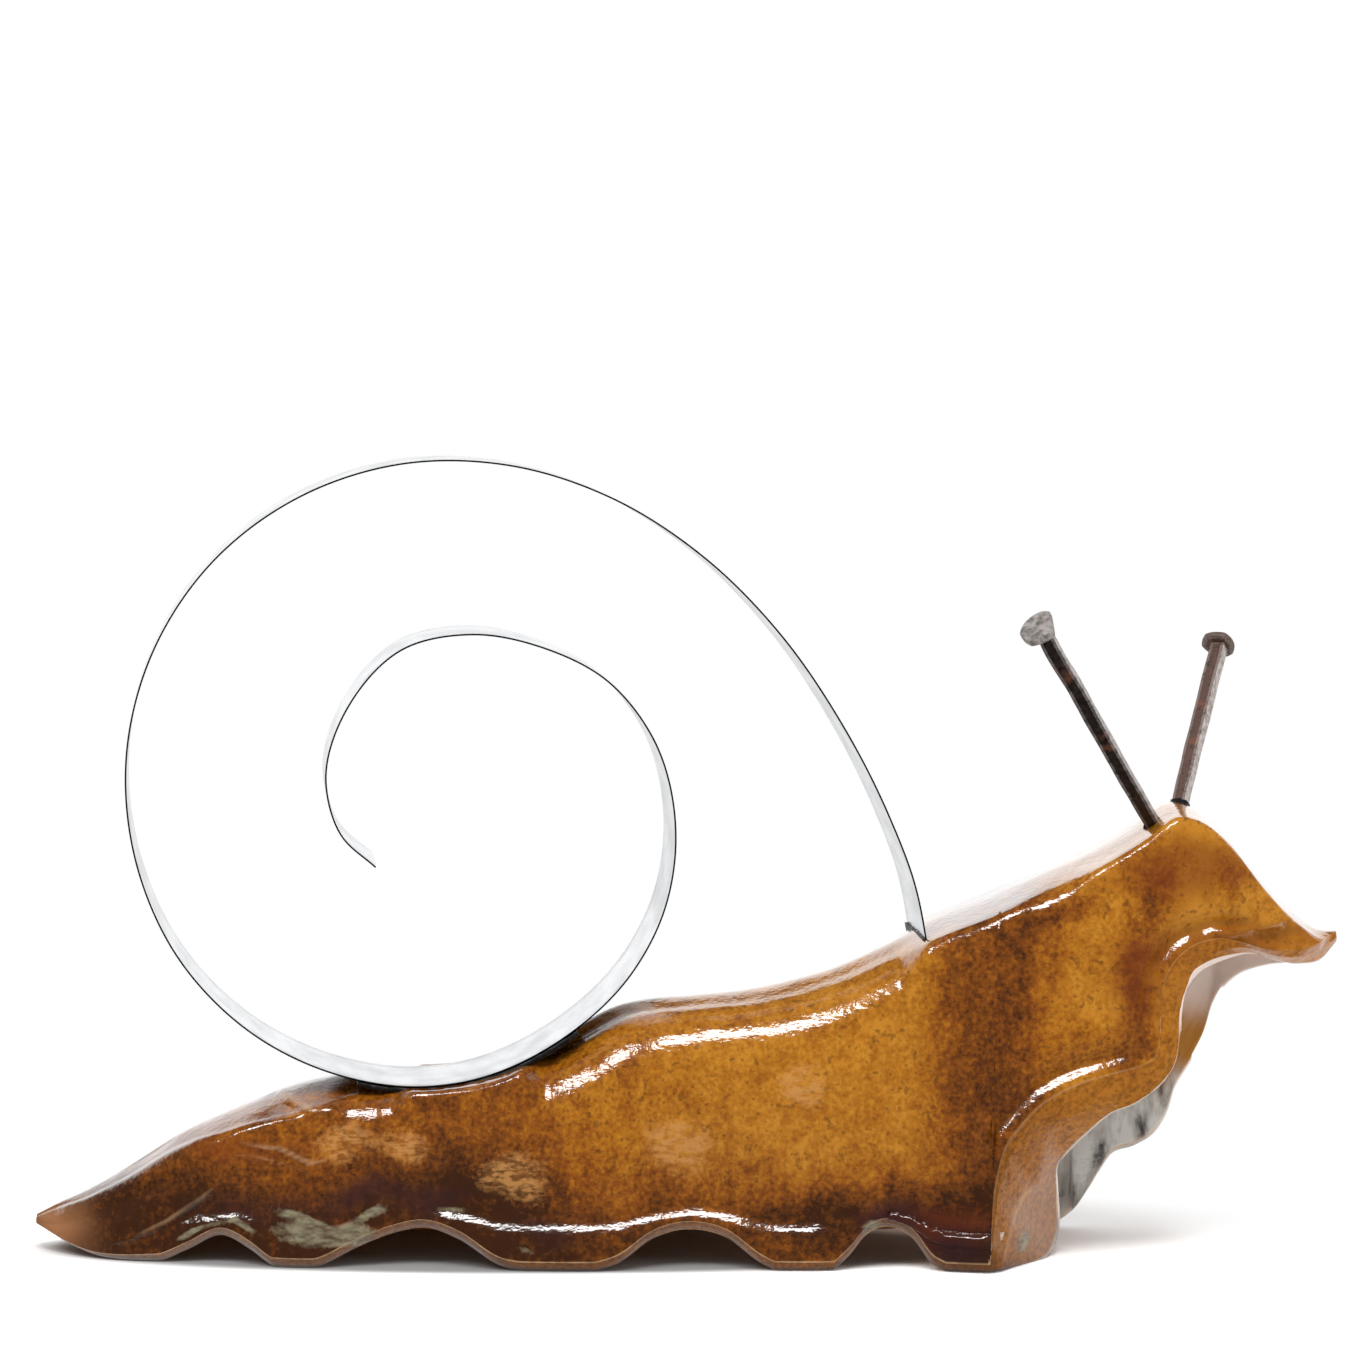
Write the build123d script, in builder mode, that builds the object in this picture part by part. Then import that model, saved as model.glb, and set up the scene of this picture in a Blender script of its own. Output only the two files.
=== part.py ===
from build123d import *
from bisect import bisect_right
from math import cos, hypot, radians, sin
import os

# Snail ornament: a hollow glazed slab body, a flat steel strip bent to a spiral for its shell, and two
# forged nails for its tentacles. +X points to the head, +Y away from the viewer, +Z up, and the origin
# lies on the floor under the middle of the object.

# Body, a clay slab bent to a tunnel that is open below and at the front
body_length = 620
crest_height = 214
hem_half_width = 58
wall = 8
skirt_height = 24
shoulder_depth = 20
plateau_crown = 3
overrun = 12
cut_reach = 90
nose_rise = 4
arch_sink = 1
hollow_from = 2

# Shell, one flat strip standing on its edge across the back
shell_height = 295
strip_width = 54
strip_thickness = 0.8
strip_skew = 6
seat_depth = 0.4
glue_gap = 0.9
glue_bead = 3
slot_depth = 14
slot_clearance = 0.7
slot_bead = 1

# Tentacles, two square nails
near_nail_length = 142
far_nail_length = 116
nail_head_side = 7.3
nail_tip_side = 6.8
nail_hole_clearance = 0.4
hole_depth = 20
near_free_length = 129
far_free_length = 97
flat_head_width = 17
flat_head_thickness = 4
domed_head_width = 20
domed_head_rim = 2.5
domed_head_crown = 4
domed_head_taper = 45
blob_radius = 7
blob_depth = 4

# Section across the body: the most that the skirt, the shoulder's drop and the plateau's crown take of
# what they stand in, how much the side leans in, and the bends of the skirt, the side and the shoulder
skirt_limit_share = 0.4
drop_limit_share = 0.6
crown_limit_share = 0.15
batter_share = 0.15
skirt_bend_shares = (0.35, 0.45)
side_bend_shares = (0.4, 0.5)
shoulder_bend_shares = (0.28, 0.36)
plateau_bend_shares = (0.75, 1.4)

# Stations of the body from tail to nose: place along the length, height of the ridge, half width of
# the side above the skirt and half width of the hem, as shares of the length, the crest and the hem
station_shares = (
    (-0.500, 0.078, 0.060, 0.060),
    (-0.482, 0.105, 0.190, 0.220),
    (-0.463, 0.130, 0.290, 0.350),
    (-0.429, 0.185, 0.400, 0.500),
    (-0.389, 0.260, 0.500, 0.570),
    (-0.350, 0.312, 0.590, 0.640),
    (-0.298, 0.374, 0.655, 0.790),
    (-0.250, 0.397, 0.675, 0.790),
    (-0.197, 0.390, 0.690, 0.760),
    (-0.137, 0.421, 0.720, 0.890),
    (-0.092, 0.488, 0.740, 0.930),
    (-0.052, 0.547, 0.750, 0.920),
    (0.003, 0.571, 0.760, 0.820),
    (0.058, 0.589, 0.760, 0.900),
    (0.103, 0.622, 0.755, 0.910),
    (0.155, 0.684, 0.750, 0.840),
    (0.190, 0.733, 0.745, 0.930),
    (0.229, 0.778, 0.780, 1.000),
    (0.274, 0.842, 0.760, 0.940),
    (0.318, 0.900, 0.720, 0.860),
    (0.348, 0.955, 0.710, 0.800),
    (0.371, 1.000, 0.695, 0.760),
    (0.387, 0.992, 0.670, 0.720),
    (0.416, 0.925, 0.610, 0.640),
    (0.440, 0.838, 0.530, 0.550),
    (0.464, 0.762, 0.420, 0.430),
    (0.484, 0.718, 0.310, 0.310),
    (0.500, 0.716, 0.200, 0.200),
)

# Front edge of the two sides, from the nose to the floor, as shares of the length and the crest
near_front_shares = (
    (0.497, 0.686),
    (0.479, 0.664),
    (0.460, 0.664),
    (0.424, 0.682),
    (0.400, 0.663),
    (0.379, 0.610),
    (0.373, 0.520),
    (0.370, 0.445),
    (0.345, 0.400),
    (0.297, 0.395),
    (0.262, 0.350),
    (0.242, 0.280),
    (0.232, 0.160),
    (0.229, 0.000),
)
far_front_shares = (
    (0.497, 0.686),
    (0.477, 0.655),
    (0.440, 0.614),
    (0.421, 0.571),
    (0.414, 0.533),
    (0.406, 0.462),
    (0.394, 0.392),
    (0.381, 0.333),
    (0.370, 0.263),
    (0.358, 0.212),
    (0.330, 0.174),
    (0.321, 0.134),
    (0.309, 0.075),
    (0.290, 0.000),
)

# Arches of the scalloped hem: start, middle and end as shares of the length, and rise of the crest. The
# far side's shallow arches stand between the near side's, so the hollow shows dark through those
near_arch_shares = (
    (-0.398, -0.352, -0.316, 0.062),
    (-0.276, -0.197, -0.137, 0.084),
    (-0.058, 0.003, 0.064, 0.104),
    (0.118, 0.155, 0.192, 0.090),
)
far_arch_shares = (
    (-0.318, -0.296, -0.272, 0.040),
    (-0.134, -0.098, -0.061, 0.056),
    (0.066, 0.091, 0.116, 0.046),
)
arch_start_way = (1, 0.3)
arch_end_way = (1, -0.3)
tail_lift_shares = ((-0.520, 0.090), (-0.500, 0.058), (-0.478, 0.030), (-0.440, -0.010))

# In-turned lower corner of the near side: where its fold and its free edge stand in plan, as shares of
# the length and the hem, and its outline in elevation, as shares of the length and the crest
flap_plan_shares = ((0.228, -0.900), (0.279, -0.250))
flap_outline_shares = (
    (0.215, 0.000),
    (0.215, 0.300),
    (0.245, 0.310),
    (0.262, 0.330),
    (0.283, 0.225),
    (0.287, 0.075),
    (0.283, 0.012),
    (0.268, 0.000),
)

# Centre line of the strip from its free inner end to its entry at the slot, as shares of the shell's
# height from its lowest point
spiral_shares = (
    (-0.085, 0.353),
    (-0.138, 0.402),
    (-0.163, 0.486),
    (-0.121, 0.619),
    (-0.041, 0.700),
    (0.069, 0.724),
    (0.182, 0.703),
    (0.283, 0.651),
    (0.355, 0.561),
    (0.392, 0.395),
    (0.373, 0.282),
    (0.319, 0.179),
    (0.215, 0.080),
    (0.063, 0.0095),
    (-0.040, 0.000),
    (-0.123, 0.0125),
    (-0.278, 0.082),
    (-0.398, 0.204),
    (-0.466, 0.362),
    (-0.479, 0.533),
    (-0.434, 0.700),
    (-0.338, 0.841),
    (-0.201, 0.942),
    (-0.038, 0.994),
    (0.132, 0.991),
    (0.293, 0.939),
    (0.437, 0.846),
    (0.557, 0.725),
    (0.654, 0.584),
    (0.7325, 0.4305),
    (0.773, 0.322),
)
spiral_end_share = 0.790
seat_place_share = -0.198
saddle_reach_share = 0.12
glue_back_share = -0.13
glue_front_share = 0.24
strip_samples = 240
slot_lean_share = 0.12

# Nails: where each is set, as shares of the length and the hem, and the way it leans
near_nail_place_shares = (0.3555, -0.280)
far_nail_place_shares = (0.3825, 0.345)
near_nail_lean = Vector(-0.450, -0.500, 0.741)
far_nail_lean = Vector(0.250, 0.605, 0.703)
near_nail_twist = 20
far_nail_twist = -20
flat_head_shares = (
    (-0.50, -0.12),
    (-0.36, -0.44),
    (0.02, -0.50),
    (0.38, -0.38),
    (0.50, 0.00),
    (0.40, 0.36),
    (0.05, 0.46),
    (-0.42, 0.30),
)
domed_head_shares = (
    (-0.50, -0.05),
    (-0.36, -0.36),
    (0.00, -0.46),
    (0.36, -0.34),
    (0.50, 0.02),
    (0.35, 0.36),
    (-0.02, 0.45),
    (-0.38, 0.33),
)


def ridge_height(x):
    """Height of the body's ridge at a place along its length."""
    places = [share[0] * body_length for share in station_shares]
    heights = [share[1] * crest_height for share in station_shares]
    after = min(max(bisect_right(places, x), 1), len(places) - 1)
    part = (x - places[after - 1]) / (places[after] - places[after - 1])
    return heights[after - 1] + part * (heights[after] - heights[after - 1])


def section_points(top, side, hem, floor):
    """One side of an arched section, from the hem up to just short of the ridge."""
    skirt = min(skirt_height, top * skirt_limit_share)
    drop = min(shoulder_depth, (top - skirt) * drop_limit_share, side * drop_limit_share)
    crown = min(plateau_crown, drop * crown_limit_share)
    batter = drop * batter_share
    shoulder = side - batter
    return [
        (hem, floor),
        (side + (hem - side) * skirt_bend_shares[0], skirt * skirt_bend_shares[1]),
        (side, skirt),
        (side - batter * side_bend_shares[0], skirt + (top - drop - skirt) * side_bend_shares[1]),
        (shoulder, top - drop),
        (shoulder - drop * shoulder_bend_shares[0], top - drop * shoulder_bend_shares[1]),
        (shoulder - drop * plateau_bend_shares[0], top - crown * plateau_bend_shares[1]),
    ]


def arch_points(top, side, hem, floor):
    """Points of an arched section across the body, from the far hem over the ridge to the near hem."""
    far_side = section_points(top, side, hem, floor)
    near_side = [(-y, z) for y, z in reversed(far_side)]
    return [*far_side, (0, top), *near_side]


def in_elevation(shares):
    """Points of an outline in the XZ plane from shares of the length and the crest."""
    return [(x * body_length, z * crest_height) for x, z in shares]


def beside_strip(distance, stretch=None):
    """Points at one distance outside the strip's centre line, or inside it where that is negative."""
    return [
        (place.X - way.Y * distance, place.Y + way.X * distance)
        for place, way in stretch or strip_stretch
    ]


def band_outline(outside, inside, stretch=None):
    """Outline of a band between two distances outside the strip's centre line."""
    outer_side = beside_strip(outside, stretch)
    inner_side = beside_strip(inside, stretch)
    with BuildLine() as outline:
        Spline(*outer_side)
        Line(outer_side[-1], inner_side[-1])
        Spline(*reversed(inner_side))
        Line(inner_side[0], outer_side[0])
    return outline.line


def nail_plane(place_shares, lean, twist):
    """Plane across a nail where it leaves the body."""
    x = place_shares[0] * body_length
    y = place_shares[1] * hem_half_width
    base = Vector(x, y, ridge_height(x) - plateau_crown / 2)
    level = Vector(0, 1, 0).cross(lean).rotate(Axis((0, 0, 0), lean), twist)
    return Plane(origin=base, x_dir=level, z_dir=lean)


def sized(shares, size):
    """Points of an outline from shares of one size."""
    return [(x * size, y * size) for x, y in shares]


def nail_shank(plane, nail_length, free_length):
    """Square shank from its tip inside the body to the underside of its head."""
    tip = nail_length - free_length
    with BuildPart() as shank:
        with BuildSketch(plane.offset(-tip)):
            Rectangle(nail_tip_side, nail_tip_side)
        with BuildSketch(plane.offset(free_length)):
            Rectangle(nail_head_side, nail_head_side)
        loft()
    return shank.part


# The strip's centre line, which starts at its free end and runs down into the slot
seat_x = seat_place_share * body_length
seat_z = ridge_height(seat_x) - seat_depth
slot_x = seat_x + spiral_end_share * shell_height
slot_z = ridge_height(slot_x)
strip_line = Spline(
    *[(seat_x + x * shell_height, seat_z + z * shell_height) for x, z in spiral_shares],
    (slot_x, slot_z),
    (slot_x + slot_depth * slot_lean_share, slot_z - slot_depth),
)
strip_stretch = [
    (strip_line @ (step / strip_samples), strip_line % (step / strip_samples))
    for step in range(strip_samples + 1)
]
saddle_stretch = [
    (place, way) for place, way in strip_stretch if place.Y < seat_z + saddle_reach_share * shell_height
]
glue_stretch = [
    (place, way)
    for place, way in saddle_stretch
    if glue_back_share * shell_height < place.X - seat_x < glue_front_share * shell_height
]
slot_stretch = [
    (place, way)
    for place, way in strip_stretch[strip_samples // 2 :]
    if place.X > slot_x - slot_depth and place.Y < slot_z + slot_depth
]
across = Vector(-sin(radians(strip_skew)), cos(radians(strip_skew)), 0)
half_strip = strip_thickness / 2
half_slot = half_strip + slot_clearance

near_plane = nail_plane(near_nail_place_shares, near_nail_lean, near_nail_twist)
far_plane = nail_plane(far_nail_place_shares, far_nail_lean, far_nail_twist)
nail_hole_radius = hypot(nail_head_side, nail_head_side) / 2 + nail_hole_clearance

# Spiral shell strip
with BuildPart() as spiral_band:
    with BuildSketch(Plane.XZ):
        with BuildLine():
            add(band_outline(half_strip, -half_strip))
        make_face()
    extrude(amount=strip_width / 2, dir=across, both=True)
spiral_band.part.label = "spiral_band"

# Near tentacle, with a flat rolled head
with BuildPart() as near_antenna_nail:
    add(nail_shank(near_plane, near_nail_length, near_free_length))
    with BuildSketch(near_plane.offset(near_free_length)):
        with BuildLine():
            Polyline(*sized(flat_head_shares, flat_head_width), close=True)
        make_face()
    extrude(amount=flat_head_thickness)
near_antenna_nail.part.label = "near_antenna_nail"

# Far tentacle, with a domed hammered head
with BuildPart() as far_antenna_nail:
    add(nail_shank(far_plane, far_nail_length, far_free_length))
    with BuildSketch(far_plane.offset(far_free_length)):
        with BuildLine():
            Polyline(*sized(domed_head_shares, domed_head_width), close=True)
        make_face()
    extrude(amount=domed_head_rim)
    with BuildSketch(far_plane.offset(far_free_length + domed_head_rim)):
        with BuildLine():
            Polyline(*sized(domed_head_shares, domed_head_width), close=True)
        make_face()
    extrude(amount=domed_head_crown, taper=domed_head_taper)
far_antenna_nail.part.label = "far_antenna_nail"

# Outer form of the body before it is hollowed
with BuildPart() as body_form:
    for place, top, side, hem in station_shares:
        with BuildSketch(Plane.YZ.offset(place * body_length)):
            arch = arch_points(top * crest_height, side * hem_half_width, hem * hem_half_width, 0)
            with BuildLine():
                Spline(*arch)
                Line(arch[-1], arch[0])
            make_face()
    loft()

# In-turned lower corner of the near side
fold, free_edge = [(x * body_length, y * hem_half_width) for x, y in flap_plan_shares]
with BuildPart() as front_corner:
    with BuildSketch():
        with BuildLine():
            Line(fold, free_edge)
            offset(amount=wall / 2)
        make_face()
    extrude(amount=crest_height)
    with BuildSketch(Plane.XZ):
        with BuildLine():
            Polyline(*in_elevation(flap_outline_shares), close=True)
        make_face()
    extrude(amount=cut_reach, both=True, mode=Mode.INTERSECT)
    add(body_form.part, mode=Mode.INTERSECT)

# Ceramic body
with BuildPart() as ceramic_body:
    add(body_form.part)
    for place, top, side, hem in station_shares[hollow_from:]:
        half_hem = hem * hem_half_width - wall
        half_side = side * hem_half_width - wall
        with BuildSketch(Plane.YZ.offset(place * body_length)):
            arch = arch_points(top * crest_height - wall, half_side, half_hem, -overrun)
            with BuildLine():
                Spline(*arch)
                Line(arch[-1], arch[0])
            make_face()
    loft(mode=Mode.SUBTRACT)

    # Front edges, arches of the hem and the lifted tail
    for shares, reach in ((near_front_shares, cut_reach), (far_front_shares, -cut_reach)):
        edge = in_elevation(shares)
        with BuildSketch(Plane.XZ):
            with BuildLine():
                Spline(*edge)
                Polyline(
                    edge[-1],
                    (edge[-1][0], -overrun),
                    (body_length / 2 + overrun, -overrun),
                    (body_length / 2 + overrun, edge[0][1] + nose_rise),
                    edge[0],
                )
            make_face()
        extrude(amount=reach, mode=Mode.SUBTRACT)
    for arch_shares, reach in ((near_arch_shares, cut_reach), (far_arch_shares, -cut_reach)):
        for start, middle, end, rise in arch_shares:
            foot = (start * body_length, -arch_sink)
            peak = (middle * body_length, rise * crest_height)
            next_foot = (end * body_length, -arch_sink)
            with BuildSketch(Plane.XZ):
                with BuildLine():
                    Spline(foot, peak, next_foot, tangents=(arch_start_way, arch_end_way))
                    Line(next_foot, foot)
                make_face()
            extrude(amount=reach, mode=Mode.SUBTRACT)
    tail_edge = in_elevation(tail_lift_shares)
    with BuildSketch(Plane.XZ):
        with BuildLine():
            Spline(*tail_edge)
            Polyline(tail_edge[-1], (tail_edge[0][0], tail_edge[-1][1]), tail_edge[0])
        make_face()
    extrude(amount=cut_reach, both=True, mode=Mode.SUBTRACT)
    add(front_corner.part)

    # Floor, saddle, slot and nail holes
    with BuildSketch(Plane.XY):
        Rectangle(body_length * 2, body_length)
    extrude(amount=-overrun * 2, mode=Mode.SUBTRACT)
    with BuildSketch(Plane.XZ):
        with BuildLine():
            saddle = beside_strip(half_strip + glue_gap, saddle_stretch)
            Spline(*saddle)
            Line(saddle[-1], saddle[0])
        make_face()
    extrude(amount=cut_reach, dir=across, both=True, mode=Mode.SUBTRACT)
    with BuildSketch(Plane.XZ):
        with BuildLine():
            add(band_outline(half_slot, -half_slot, slot_stretch))
        make_face()
    extrude(amount=strip_width / 2 + slot_clearance, dir=across, both=True, mode=Mode.SUBTRACT)
    for plane in (near_plane, far_plane):
        with BuildSketch(plane.offset(-hole_depth)):
            Circle(nail_hole_radius)
        extrude(amount=hole_depth * 2, mode=Mode.SUBTRACT)
ceramic_body.part.label = "ceramic_body"

# Adhesive under the strip in the saddle
with BuildPart() as saddle_adhesive:
    with BuildSketch(Plane.XZ):
        with BuildLine():
            add(band_outline(half_strip + glue_bead, half_strip, glue_stretch))
        make_face()
    extrude(amount=strip_width / 2, dir=across, both=True)
    add(ceramic_body.part, mode=Mode.SUBTRACT)
saddle_adhesive.part.label = "saddle_adhesive"

# Adhesive around the strip's end in the slot
with BuildPart() as slot_adhesive:
    with BuildSketch(Plane.XZ):
        with BuildLine():
            add(band_outline(half_slot + slot_bead, -half_slot - slot_bead, slot_stretch))
        make_face()
    extrude(amount=strip_width / 2 + slot_clearance, dir=across, both=True)
    with BuildSketch(Plane.XY.offset(slot_z + slot_bead)):
        Rectangle(body_length * 2, body_length)
    extrude(amount=crest_height, mode=Mode.SUBTRACT)
    add(ceramic_body.part, mode=Mode.SUBTRACT)
    add(spiral_band.part, mode=Mode.SUBTRACT)
slot_adhesive.part.label = "slot_adhesive"


def nail_adhesive(plane, nail):
    """Blob of adhesive that holds a nail in its hole."""
    with BuildPart() as blob:
        with Locations(plane.offset(-blob_depth).origin):
            Sphere(blob_radius)
        add(ceramic_body.part, mode=Mode.SUBTRACT)
        add(nail, mode=Mode.SUBTRACT)
    return blob.part


with BuildPart() as near_nail_adhesive:
    add(nail_adhesive(near_plane, near_antenna_nail.part))
near_nail_adhesive.part.label = "near_nail_adhesive"

with BuildPart() as far_nail_adhesive:
    add(nail_adhesive(far_plane, far_antenna_nail.part))
far_nail_adhesive.part.label = "far_nail_adhesive"

os.makedirs("parts", exist_ok=True)
for piece in (
    ceramic_body,
    spiral_band,
    near_antenna_nail,
    far_antenna_nail,
    near_nail_adhesive,
    far_nail_adhesive,
    saddle_adhesive,
    slot_adhesive,
):
    export_step(piece.part, f"parts/{piece.part.label}.step")
    print(piece.part.label, len(piece.part.solids()), round(piece.part.volume, 1))
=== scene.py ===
import logging
import math
from dataclasses import dataclass
from enum import Enum
from functools import partial
from typing import Sequence

import bmesh
import bpy
from mathutils import Matrix, Vector, kdtree, noise


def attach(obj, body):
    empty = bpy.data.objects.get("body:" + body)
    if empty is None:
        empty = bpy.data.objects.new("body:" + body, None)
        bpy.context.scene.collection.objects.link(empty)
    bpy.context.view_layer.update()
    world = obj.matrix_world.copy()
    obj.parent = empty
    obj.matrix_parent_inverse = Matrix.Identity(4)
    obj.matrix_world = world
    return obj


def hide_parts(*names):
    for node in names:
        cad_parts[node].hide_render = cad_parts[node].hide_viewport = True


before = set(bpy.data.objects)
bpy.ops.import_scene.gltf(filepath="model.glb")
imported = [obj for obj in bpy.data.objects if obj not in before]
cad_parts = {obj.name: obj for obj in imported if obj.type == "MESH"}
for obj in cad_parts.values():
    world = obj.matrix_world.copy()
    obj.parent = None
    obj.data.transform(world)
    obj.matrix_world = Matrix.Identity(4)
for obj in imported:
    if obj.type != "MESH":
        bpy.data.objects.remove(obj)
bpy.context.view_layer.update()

# Snail ornament in metres: a glazed slab body, a steel strip shell and two forged nails. +X points to
# the head, +Y away from the viewer and +Z up, with the origin on the floor.

MM = 0.001
LOG = logging.getLogger("snail_ornament")

Row = tuple[float, ...]
Owner = bpy.types.Material | bpy.types.World
Socket = bpy.types.NodeSocket


class Face(Enum):
    """Side of the snail's body, with the sign that its Y has."""

    NEAR = -1
    FAR = 1


class Slot(Enum):
    """Material slots of the record."""

    GLAZE = "amber_glaze"
    STEEL = "strip_steel"
    IRON = "forged_iron"
    ADHESIVE = "dark_adhesive"


def shares(*rows: Row) -> tuple[Row, ...]:
    """Rows of shares from rows of thousandths."""
    return tuple(tuple(number / 1000 for number in row) for row in rows)


# Driving sizes, the same as the solids'
BODY_LENGTH = 620 * MM
CREST_HEIGHT = 214 * MM
HEM_HALF_WIDTH = 58 * MM
SHELL_HEIGHT = 295 * MM
STRIP_SKEW = math.radians(6)
SEAT_SHARE = -0.198

# Stations of the body from tail to nose: place along the length, height of the ridge, half width of the
# side above the skirt and half width of the hem, in thousandths of the length, the crest and the hem
STATION_SHARES = shares(
    (-500, 78, 60, 60), (-482, 105, 190, 220), (-463, 130, 290, 350), (-429, 185, 400, 500),
    (-389, 260, 500, 570), (-350, 312, 590, 640), (-298, 374, 655, 790), (-250, 397, 675, 790),
    (-197, 390, 690, 760), (-137, 421, 720, 890), (-92, 488, 740, 930), (-52, 547, 750, 920),
    (3, 571, 760, 820), (58, 589, 760, 900), (103, 622, 755, 910), (155, 684, 750, 840),
    (190, 733, 745, 930), (229, 778, 780, 1000), (274, 842, 760, 940), (318, 900, 720, 860),
    (348, 955, 710, 800), (371, 1000, 695, 760), (387, 992, 670, 720), (416, 925, 610, 640),
    (440, 838, 530, 550), (464, 762, 420, 430), (484, 718, 310, 310), (500, 716, 200, 200),
)

# Shoulder: place along the length, radius of the bend and rise of the crowned top, in thousandths of the
# length and the crest
SHOULDER_SHARES = shares(
    (-500, 30, 4), (-430, 45, 12), (-372, 45, 18), (-345, 26, 24), (-290, 26, 36), (-272, 30, 32),
    (-252, 85, 24), (-222, 85, 10), (-204, 14, 4), (-198, 14, 4), (-136, 14, 4), (-128, 14, 4),
    (-106, 150, 16), (-98, 165, 18), (-60, 155, 18), (-20, 132, 14), (150, 125, 12), (162, 120, 12),
    (186, 16, 12), (192, 14, 12), (240, 14, 12), (246, 16, 12), (266, 50, 12), (292, 50, 12), (310, 14, 12),
    (318, 12, 12), (500, 12, 10),
)

# Steepest turn of the skirt: place along the length as a share, and degrees from upright
SKIRT_SLOPES = (
    (-0.5, 14), (-0.39, 18), (-0.368, 33), (-0.362, 33), (-0.344, 33), (-0.338, 33), (-0.318, 18),
    (-0.205, 18), (-0.199, 18), (-0.178, 36), (-0.172, 36), (0.09, 36), (0.096, 36), (0.115, 22), (0.5, 18),
)

# Lift of the hem's lower edge above the floor, in thousandths of the length and the crest
HEM_LIFT_SHARES = shares(
    (-500, 60), (-478, 30), (-450, 4), (-430, 0), (-400, 0), (-378, 28), (-352, 62), (-330, 34), (-312, 0),
    (-280, 0), (-250, 40), (-220, 73), (-197, 84), (-172, 64), (-137, 6), (-125, 0), (-68, 0), (-52, 14),
    (-24, 66), (3, 83), (32, 66), (58, 14), (68, 0), (112, 0), (124, 30), (138, 74), (155, 90), (172, 66),
    (186, 16), (196, 0), (500, 0),
)
# The far side's hem, whose shallow arches stand between the near side's
FAR_LIFT_SHARES = HEM_LIFT_SHARES[:5] + shares(
    (-318, 0), (-309, 24), (-296, 40), (-283, 24), (-272, 0), (-134, 0), (-119, 36), (-98, 56), (-77, 36),
    (-61, 0), (66, 0), (78, 28), (91, 46), (104, 28), (116, 0), (500, 0),
)

# Front edge of each side from the foot to the nose: the outer arris in elevation and the inner edge of
# the lip, and the crease of the near foot between them, in thousandths of the length, the hem and the crest
NEAR_ARRIS_SHARES = shares(
    (229, 24), (229, 56), (230, 112), (231, 164), (233, 206), (237, 257), (245, 305), (258, 348), (277, 390),
    (297, 416), (327, 439), (344, 451), (354, 469), (357, 507), (357, 551), (358, 595), (364, 660),
    (380, 707), (401, 724), (416, 718), (444, 694), (472, 692), (490, 708), (499, 714),
)
NEAR_LIP_SHARES = shares(
    (234, -905, 0), (253, -655, 0), (271, -448, 0), (281, -293, 9), (287, -207, 56), (286, -276, 121),
    (284, -483, 215), (289, -517, 238), (306, -595, 294), (321, -638, 334), (342, -655, 362),
    (361, -655, 404), (370, -655, 446), (373.5, -655, 501), (374.7, -638, 547), (377, -621, 591),
    (382, -621, 625), (391, -586, 650), (407, -534, 669), (424, -483, 682), (448, -362, 666),
    (468.5, -267, 655), (487, -138, 663), (499.5, -26, 694),
)
NEAR_FOLD_SHARES = shares(
    (231.5, -957, 7), (239, -905, 14), (241.5, -879, 49), (245, -845, 91), (249, -793, 128),
    (257, -724, 161), (269, -638, 196),
)
FAR_ARRIS_SHARES = shares(
    (284, 24), (290, 65), (303, 126), (313, 187), (326, 234), (343.5, 257), (358, 290), (368, 336),
    (376, 397), (385.5, 458), (395, 514), (401.5, 570), (408, 621), (422.5, 659), (443.5, 682), (468, 692),
    (487, 707), (499, 714),
)
FAR_LIP_SHARES = shares(
    (287, 810, 0), (306.5, 810, 42), (318, 802, 89), (327, 793, 134), (337, 776, 177), (353, 776, 192),
    (368, 759, 220), (377.6, 759, 263), (385, 741, 333), (396.5, 724, 392), (406.5, 690, 453),
    (413, 638, 523), (420, 560, 568), (432, 483, 603), (451.5, 379, 626), (471, 267, 638), (487, 138, 654),
    (499.5, 26, 694),
)

# Centre line of the strip from its free inner end to its entry at the slot, in thousandths of the
# shell's height from its lowest point
SPIRAL_SHARES = shares(
    (-85, 353), (-138, 402), (-163, 486), (-121, 619), (-41, 700), (69, 724), (182, 703), (283, 651),
    (355, 561), (392, 395), (373, 282), (319, 179), (215, 80), (63, 9.5), (-40, 0), (-123, 12.5), (-278, 82),
    (-398, 204), (-466, 362), (-479, 533), (-434, 700), (-338, 841), (-201, 942), (-38, 994), (132, 991),
    (293, 939), (437, 846), (557, 725), (654, 584), (732.5, 430.5), (773, 322),
)

# Brightness of the amber along the side, from 0 for dark brown to 1000 for bright amber
TONE_SHARES = shares(
    (-500, 600), (-440, 460), (-380, 460), (-320, 520), (-250, 480), (-190, 420), (-120, 530), (-30, 740),
    (80, 820), (150, 800), (182, 680), (202, 460), (230, 340), (258, 420), (285, 740), (320, 980),
    (360, 940), (440, 980), (500, 850),
)


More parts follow.
